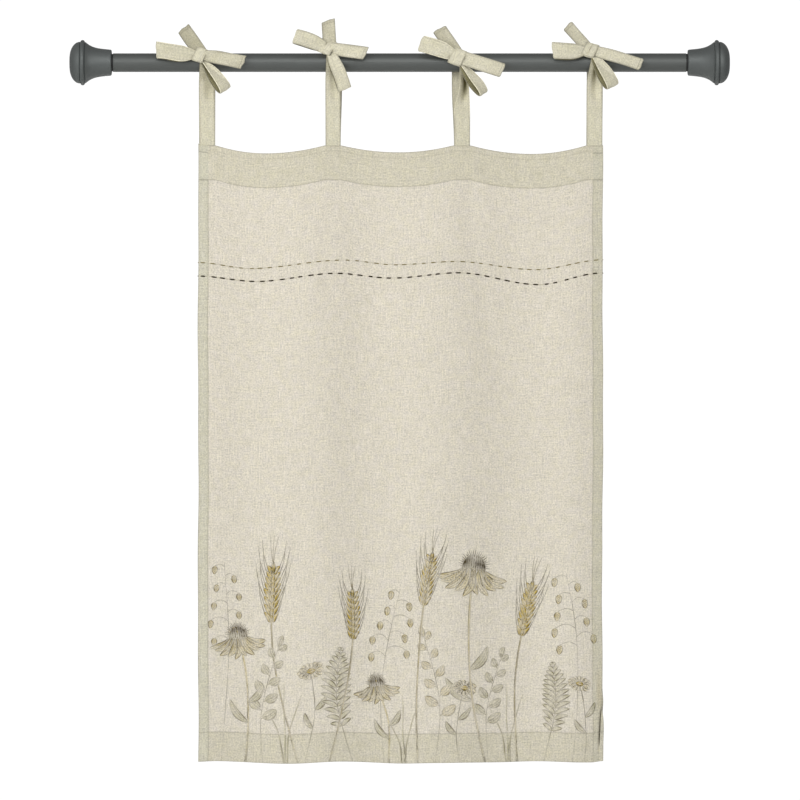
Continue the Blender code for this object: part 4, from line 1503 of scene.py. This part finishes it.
    def wheat(self, foot: float, top: float, height: float, bow: float, size: float,
              wash: float = 0.95) -> None:
        """A wheat ear: overlapping grains in three files up the last part of the stem, with long awns."""
        line = stem(foot, top, height, bow)
        ear = 62 * size / height
        self.double_stem(line[: int(len(line) * (1 - ear)) + 2], 1.0)
        for index in range(8):
            point, way = spot(line, 1 - ear + ear * 0.92 * index / 7)
            slim = (1 - 0.6 * abs(index - 3.0) / 8) * size
            for side in (-1, 1):
                base = point + turned(way, side * 90) * 1.5 * size
                tip = base + turned(way, side * 29) * 18 * slim
                awn = turned(way, side * (9 + index % 3 * 3)) * (36 - 1.5 * index + 4 * (index % 3)) * size
                self.stroke(arc(tip, tip + awn, 0.05 * side), 0.55, UMBER)
                self.blade(base, tip, 7.6 * slim, OCHRE, UMBER, -0.12 * side, wash, fullness=0.85, hatch=0.5)
            tip = point + way * 14 * slim
            self.blade(point, tip, 6.0 * slim, OCHRE, SEPIA, 0.03, wash * 0.8, fullness=0.85)
        point, way = spot(line, 1.0)
        tip = point + way * 11 * size
        self.blade(point - way * 4, tip, 4.6 * size, OCHRE, UMBER, 0.0, wash, fullness=0.85, hatch=0.5)
        for turn in (-7, 0, 6):
            self.stroke(arc(point + way * 8, point + turned(way, turn) * 42 * size, 0.03, 7), 0.5, SEPIA)

    def coneflower(self, foot: float, top: float, height: float, bow: float, size: float,
                   lean: float) -> None:
        """A coneflower from the side: a dark bristly cone over petals that hang down round the stem's top.

        Args:
            foot: Where its stem starts, across.
            top: Where it ends, across.
            height: How high it ends.
            bow: How far it bows aside.
            size: The flower's size, with 1 for a cone of 29 mm.
            lean: The flower's lean to the left, in degrees.
        """
        line = stem(foot, top, height, bow)
        self.double_stem(line, 1.25)
        centre = line[-1]
        up = turned(np.array([0.0, 1.0]), lean)
        right = turned(up, -90)
        for index, angle in enumerate((82, -82, 66, -66, 48, -48, 30, -30, 12, -13)):
            start = centre + right * math.sin(math.radians(angle)) * 12 * size - up
            reach = turned(-up, angle * 0.86) * (33 + 4 * ((index * 3) % 4) / 3) * size
            bend = 0.16 if angle < 0 else -0.16
            self.blade(start, start + reach, 9.6 * size, STRAW, UMBER, bend, 0.65, 1.0, 1.25, 12, 0.6)
            self.stroke(arc(start, start + reach * 0.9, bend, 9), 0.5, SEPIA, 0.6, 0.5, (STRAW, 0.45))
        foot_of_cone, cone_top = centre - up * 3 * size, centre + up * 17 * size
        self.blade(foot_of_cone, cone_top, 29 * size, UMBER, UMBER, 0.0, 0.85, 1.0, 1.0, 14, 0.9, True)
        for row in range(6):
            wide = 12.5 * math.sqrt(1 - (row / 6.4) ** 2) * size
            for index, over in enumerate(np.linspace(-1, 1, 11 - row)):
                start = centre + right * over * wide + up * (row * 2.7 - 1.2) * size
                end = start + turned(up, -over * 42) * 4.2 * size
                ink = UMBER if (row + index) % 3 else OCHRE
                self.stroke(arc(start, end, 0.0, 3), 0.7 * size, ink, 1.0, 0.7, (SEPIA, 0.8))
        for index, angle in enumerate(np.linspace(-86, 86, 23)):
            sine, cosine = math.sin(math.radians(angle)), math.cos(math.radians(angle))
            out = turned(up, -angle)
            rim = centre + (right * sine * 14 + up * cosine * 16) * size
            end = rim + out * (4.5 + 1.6 * (index % 3)) * size
            self.stroke(np.stack([rim - out, (rim + end) / 2, end]), 0.6, UMBER, 0.95, 0.7)
        for share, side, reach in ((0.3, 1, 46), (0.46, -1, 38)):
            point, way = spot(line, share)
            self.leaf(point, turned(way, side * 40), reach * size, 10.5 * size, SAGE, 0.12 * side)

    def daisy(self, foot: float, top: float, height: float, bow: float, radius: float, tilt: float) -> None:
        """A daisy seen from the side and above: petals round an ochre middle, and two leaves on the stem."""
        line = stem(foot, top, height, bow)
        self.thin_stem(line, 0.55, 0.8, 0.2)
        centre = line[-1]
        for index in range(15):
            angle = FULL_TURN * index / 15 + 0.1
            way = turned(np.array([math.cos(angle), 0.6 * math.sin(angle)]), tilt) * radius
            tip = centre + way * (0.94 + 0.12 * ((index * 5) % 3) / 2)
            self.blade(centre + way * 0.26, tip, radius * 0.36, STRAW, UMBER, 0.05, 0.4, 0.85, 1.35)
        half = turned(np.array([radius * 0.32, 0.0]), tilt)
        self.blade(centre - half, centre + half, radius * 0.42, OCHRE, UMBER, 0.0, 1.0, 1.0, 1.0, 10, 0.9)
        for share, side in ((0.36, 1), (0.56, -1)):
            point, way = spot(line, share)
            self.leaf(point, turned(way, side * 38), 27, 7.5, SAGE, 0.1 * side, veins=3)

    def fern(self, foot: float, top: float, height: float, bow: float, width: float) -> None:
        """A fern frond: leaflets in pairs that grow shorter towards the tip."""
        line = stem(foot, top, height, bow)
        self.thin_stem(line, 0.6, 0.85, 0.6)
        for index in range(13):
            point, way = spot(line, 0.3 + 0.67 * index / 12)
            reach = width * math.sin(math.pi * (0.22 + 0.72 * index / 12)) ** 0.9
            for side in (-1, 1):
                tip = point + turned(way, side * (64 - index)) * reach
                self.blade(point, tip, 4.8 + 0.06 * reach, SAGE, UMBER, -0.08 * side, 0.5, 0.9, 0.8, 8, 0.3)

    def sprig(self, foot: float, top: float, height: float, bow: float, size: float,
              fill: Ink = SAGE) -> None:
        """A sprig of round leaves by turns at each side, each with a midrib and veins."""
        line = stem(foot, top, height, bow)
        self.thin_stem(line)
        for index in range(9):
            side = 1 if index % 2 else -1
            point, way = spot(line, 0.36 + 0.075 * index)
            aim = turned(way, side * (54 - 2 * index))
            reach, wide = (24 - 1.3 * index) * size, 13.5 * size * (1 - 0.045 * index)
            self.leaf(point + aim * 3 * size, aim, reach, wide, fill, 0.06 * side, 0.45, 0.7, 3)
            self.stroke(arc(point, point + aim * 3.2 * size, 0.0, 3), 0.5, SEPIA, 0.7, 0.1)
        point, way = spot(line, 1.0)
        self.leaf(point, way, 17 * size, 8 * size, fill, 0.05, 0.45, 0.7, 2)

    def quaking_grass(self, foot: float, top: float, height: float, bow: float, size: float,
                      amount: float = 0.7) -> None:
        """Quaking grass: hair-thin branches that arch off the stem, each with a hanging scaly heart."""
        line = stem(foot, top, height, bow)
        self.thin_stem(line, 0.5, amount)
        for index in range(9):
            side = 1 if index % 2 else -1
            point, way = spot(line, 0.6 + 0.047 * index)
            reach = (30 - 2 * index) * (0.85 + 0.15 * ((index * 7) % 3)) * size
            run = np.linspace(0, 1, 9)[:, None]
            droop = np.array([0.2 * side, -0.62]) * run**2.4
            branch = point + (turned(way, -side * 46) * run + droop) * reach
            self.stroke(branch, 0.4, UMBER, amount, 0.2)
            head, swing = branch[-1], np.array([0.12 * side, -1.0]) * size
            self.blade(head, head + swing * 14, 8.4 * size, STRAW, UMBER, 0.0, 0.75, 1.0, 0.8, 9, 0.5)
            for scale in range(3):
                level = head + swing * (4.4 + 2.9 * scale)
                for spread in (-1, 1):
                    end = level + np.array([spread * (3.4 - 0.7 * scale), 2.8]) * size
                    self.stroke(arc(level, end, 0.1 * spread, 4), 0.5, SEPIA, amount, 0.3, (STRAW, 0.6))

    def grass(self, foot: float, height: float, spread: float) -> None:
        """A tuft of grass: long blades that lean out from one foot."""
        for index in range(3):
            lean = spread * (index - 1)
            tall = height * (0.7 + 0.15 * ((index * 5) % 3))
            line = stem(foot + index * 2.5, foot + lean * 1.8, tall, -lean * 0.4)
            self.stroke(line, 1.25, SAGE if index % 2 else OLIVE, 0.5, 0.85)
            self.stroke(line + np.array([0.8, 0.0]), 0.42, SEPIA, 0.5, 0.5, (SAGE, 0.15))

    def draw(self) -> None:
        """The whole meadow, from the faint plants at the back to the strong ones in front."""
        for plant, *sizes in (
            (self.grass, 128, 120, 15), (self.grass, 306, 104, 14), (self.grass, 462, 118, 14),
            (self.quaking_grass, 278, 304, 262, -14, 1.0), (self.quaking_grass, 560, 552, 286, 14, 1.05),
            (self.quaking_grass, 34, 40, 300, 8, 0.9, 0.65),
            (self.fern, 232, 214, 172, -14, 27), (self.fern, 518, 532, 150, 10, 25),
            (self.sprig, 96, 122, 176, -12, 1.05), (self.sprig, 356, 338, 190, 14, 1.05, STRAW),
            (self.sprig, 434, 454, 158, -10, 1.0), (self.daisy, 160, 170, 138, 9, 21, 14),
            (self.daisy, 392, 400, 112, -8, 19, -10), (self.daisy, 578, 572, 118, 6, 18, -14),
            (self.coneflower, 70, 60, 190, 10, 0.95, 9), (self.coneflower, 430, 414, 292, -16, 1.2, -6),
            (self.coneflower, 286, 268, 118, 8, 0.8, 10), (self.wheat, 150, 112, 290, -16, 1.3),
            (self.wheat, 196, 232, 250, 12, 1.1), (self.wheat, 478, 500, 262, -12, 1.2),
            (self.wheat, 330, 350, 306, -10, 1.15, 0.75),
        ):
            plant(*sizes)

    def build(self) -> Piece:
        """Draws the print and what shows of the stitches, lays it on the cloth and makes one piece of it."""
        self.draw()
        width, drop = self.panel.width, self.panel.drop
        across = np.linspace(6, width - 6, 300)
        for row in STITCH_ROWS:
            line = np.stack([across, drop - row.below_at(across)], axis=-1)
            self.stroke(line, 0.7, OLIVE, self.shows_through, 0.0)
        whole = Patch.joined(self.patches)
        across, below = whole.place.T
        off = (across < self.margin) | (across > width - self.margin) | (below > drop - 0.5)
        whole.ink[off, 3] = 0
        whole.hatch[off, 2] = 0
        across, below = np.clip(across, self.margin, width - self.margin), np.minimum(below, drop - 0.6)
        whole.points = self.panel.raised(across, below, np.concatenate(self.lifts))
        # The print takes the cloth's painted shade, so it darkens with the hems and edges.
        whole.tint = self.panel.layers(across, below)
        return whole.make("meadow_print", PRINTED_LINEN.material(), "linen")


@dataclass
class TensionRod:
    """The painted tube with a dark plug and a bell-shaped end at each side."""

    length: float = 990.0
    bell_length: float = 63.0
    flat_radius: float = 8.0
    dome_depth: float = 15.4
    dome_radius: float = 31.2
    bead_place: float = 19.5
    bead_radius: float = 3.4
    bead_centre: float = 30.6
    mouth_radius: float = 19.6
    mouth_slope: float = 3.4
    flare: float = 7.8
    mouth_rounding: float = 2.2
    recess: float = 3.0
    collar_radius: float = 13.2
    bore_radius: float = 9.3
    bore_depth: float = 24.0
    sides: int = 128

    def bell_profile(self) -> Array:
        """The bell's section from its outer face to its bore, as distance from that face and radius.

        A quarter ellipse makes the dome, an arc the bead, and the mouth's radius plus the share left and the
        share left to the fourth power the flare. The two points on the axis are left out.
        """
        turn = np.linspace(0, math.pi / 2, 26)
        reach = self.dome_radius - self.flat_radius
        angle = np.radians(np.linspace(5, 160, 18))
        start = self.bead_place + self.bead_radius + 1.2
        left = np.linspace(1, 0, 34)
        corner = np.linspace(0, math.pi / 2, 6)[1:]
        bead, rounding, mouth = self.bead_radius, self.mouth_rounding, self.bell_length
        inner = self.collar_radius + GAP
        flare = self.mouth_radius + self.mouth_slope * left + self.flare * left**4
        lip = self.mouth_radius - rounding * (1 - np.cos(corner))
        runs = (
            (self.dome_depth * (1 - np.cos(turn)), self.flat_radius + reach * np.sin(turn)),
            ((15.75, 15.95, 16.15, 16.3), (30.85, 30.0, 29.8, 30.0)),
            (self.bead_place - bead * np.cos(angle), self.bead_centre + bead * np.sin(angle)),
            ((22.95, 23.15, 23.45, 23.8), (31.1, 30.45, 30.2, 30.45)),
            (start + (mouth - rounding - start) * (1 - left), flare),
            (mouth - rounding * (1 - np.sin(corner)), lip),
            ((mouth, mouth - 0.4, mouth - self.recess), (inner + 0.4, inner, inner)),
            ((mouth - self.recess, mouth - self.bore_depth), (self.bore_radius, self.bore_radius)),
        )
        return np.concatenate([np.stack(run, axis=-1) for run in runs])

    def build_end(self, side: str, outer_face: float, inwards: float) -> Piece:
        """A bell turned about the rod's axis: each point of its section carried round a circle.

        Args:
            side: left or right.
            outer_face: Where its outer face lies along the rod.
            inwards: 1 or -1, the way from that face to the tube.

        Returns:
            The piece.
        """
        profile = self.bell_profile()
        turn = -np.linspace(0, FULL_TURN, self.sides, endpoint=False) * inwards
        along = np.repeat(outer_face + inwards * profile[:, :1], self.sides, axis=1)
        rings = np.stack([along, profile[:, 1:] * np.cos(turn), profile[:, 1:] * np.sin(turn)], axis=-1)
        poles = np.zeros((1, 2, 3))
        poles[0, :, 0] = outer_face + inwards * np.array([0.0, profile[-1, 0]])
        piece = Patch.of_rings(rings[None], poles).make(f"bell_end_{side}", END_PAINT.material(), "rod_end")
        piece.data.set_sharp_from_angle(angle=math.radians(38))
        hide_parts(f"rod_end_{side}")
        return piece

    def build(self) -> None:
        """Paints the tube and the plugs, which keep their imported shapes, and builds both bells."""
        finishes = {"rod_tube": ROD_PAINT, "rod_plug_left": PLUG_PLASTIC, "rod_plug_right": PLUG_PLASTIC}
        for node, finish in finishes.items():
            material = finish.material()
            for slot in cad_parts[node].material_slots:
                slot.material = material
        self.build_end("left", 0.0, 1.0)
        self.build_end("right", self.length, -1.0)


@dataclass
class Studio:
    """A pale floor, soft white light and the camera in front of the curtain, in metres."""

    centre: tuple[float, float, float] = (0.4955, 0.0, -0.506)
    frame_width: float = 1.2
    distance: float = 9.0
    sensor: float = 36.0
    floor_height: float = -1.6
    floor_radius: float = 2.8
    front_light: float = 0.75
    back_light: float = 0.3
    seen_light: float = 1.05

    def build_camera(self) -> None:
        """A long lens at the middle of the photo's frame, looking along +Y."""
        data = bpy.data.cameras.new("camera")
        data.sensor_width = self.sensor
        data.lens = self.sensor * self.distance / self.frame_width
        camera = placed("camera", data)
        camera.location = Vector(self.centre) - Vector((0, self.distance, 0))
        camera.rotation_euler = (math.pi / 2, 0, 0)
        bpy.context.scene.camera = camera

    def build_light(self, name: str, place: Colour, size: tuple[float, float], power: float,
                    soft: bool = False, shine: bool = False) -> None:
        """A soft box that faces the curtain.

        Args:
            name: Its name.
            place: Where it stands.
            size: Its width and height.
            power: Its power in watts.
            soft: Whether it leaves no shine.
            shine: Whether it gives shine alone.
        """
        data = bpy.data.lights.new(name, "AREA")
        data.shape = "RECTANGLE"
        data.size, data.size_y = size
        data.energy = power
        light = placed(name, data)
        light.location = place
        light.rotation_euler = (Vector(self.centre) - Vector(place)).to_track_quat("-Z", "Y").to_euler()
        light.visible_glossy = not soft
        light.visible_diffuse = not shine

    def build_world(self) -> None:
        """White surroundings, whose light on the cloth falls off from the front to the back."""
        world = bpy.data.worlds.new("white surroundings")
        bpy.context.scene.world = world
        recipe = Recipe(world)
        background = recipe.tree.nodes["Background"]
        parts = recipe.node("SeparateXYZ", {0: recipe.node("TexCoord", {})["Generated"]})
        fall = {0: parts[1], 1: -1.0, 2: 0.1, 3: self.front_light, 4: self.back_light}
        seen = recipe.node("LightPath", {})["Is Camera Ray"]
        strength = recipe.node("Mix", {0: seen, 2: recipe.node("MapRange", fall)[0], 3: self.seen_light})[0]
        recipe.put((1, 1, 1, 1), background.inputs["Color"])
        recipe.put(strength, background.inputs["Strength"])

    def build_floor(self) -> None:
        """A round pale floor well below the curtain."""
        turn = np.linspace(0, FULL_TURN, 96, endpoint=False)
        ring = np.stack([np.cos(turn), np.sin(turn), np.zeros(96)], axis=-1) * self.floor_radius
        ring += np.array([self.centre[0], self.centre[1], self.floor_height])
        mesh = bpy.data.meshes.new("floor")
        mesh.from_pydata(ring.tolist(), [], [list(range(96))])
        mesh.materials.append(FLOOR_PAINT.material())
        placed("floor", mesh)

    def build(self) -> None:
        """Sets up the camera, the surroundings, the floor and the lights."""
        self.build_camera()
        self.build_world()
        self.build_floor()
        self.build_light("key", (-1.9, -3.1, 0.8), (3.0, 3.0), 76.0, soft=True)
        self.build_light("shine left", (-1.9, -3.1, 0.8), (3.0, 3.0), 36.0, shine=True)
        self.build_light("shine right", (2.9, -3.1, 0.8), (3.0, 3.0), 36.0, shine=True)
        self.build_light("fill behind", (0.8, 3.2, -0.5), (3.0, 2.0), 70.0, soft=True)
        self.build_light("strip", (0.45, -3.2, 1.35), (0.5, 2.0), 17.0)
        bpy.context.scene.view_settings.view_transform = "Standard"


PANEL = ClothPanel()
STITCH_ROWS = (
    RunningStitchRow(
        "flax_stitch_row", FLAX_THREAD, (0, 79, 220, 296, 387, 507, 607),
        (-299.9, -308.7, -296.1, -303.2, -298.4, -310.4, -295.8),
        StitchSizes(14.4, 7.8, 1.6, 0.8, 7, 8), 11, PANEL,
    ),
    RunningStitchRow(
        "dark_stitch_row", DARK_THREAD, (0, 87, 208, 292, 391, 511, 604),
        (-320.1, -328.1, -316.1, -323.1, -315.3, -332.9, -315.8),
        StitchSizes(14.7, 8.3, 2.1, 1.0, 7, 8), 12, PANEL,
    ),
)


def main() -> None:
    """Builds the studio, the rod, the four ties and the cloth with what is on it, and reports each."""
    logging.basicConfig(level=logging.INFO, format="%(name)s: %(message)s")
    Studio().build()
    TensionRod().build()
    materials = [finish.material() for finish in (TIE_LINEN, TIE_INSIDE_SHADE, HEM_THREAD)]
    tied = [TieAssembly(tie, PANEL, *materials).build() for tie in TIES]
    cloth = PANEL.build_cloth()
    on_cloth = [PANEL.build_hem_stitches(), *(row.build() for row in STITCH_ROWS), MeadowPrint(PANEL).build()]
    LOG.info("the cloth rests on %s, with %d pieces on it", ", ".join(tied), len(on_cloth))


if __name__ == "__main__":
    main()
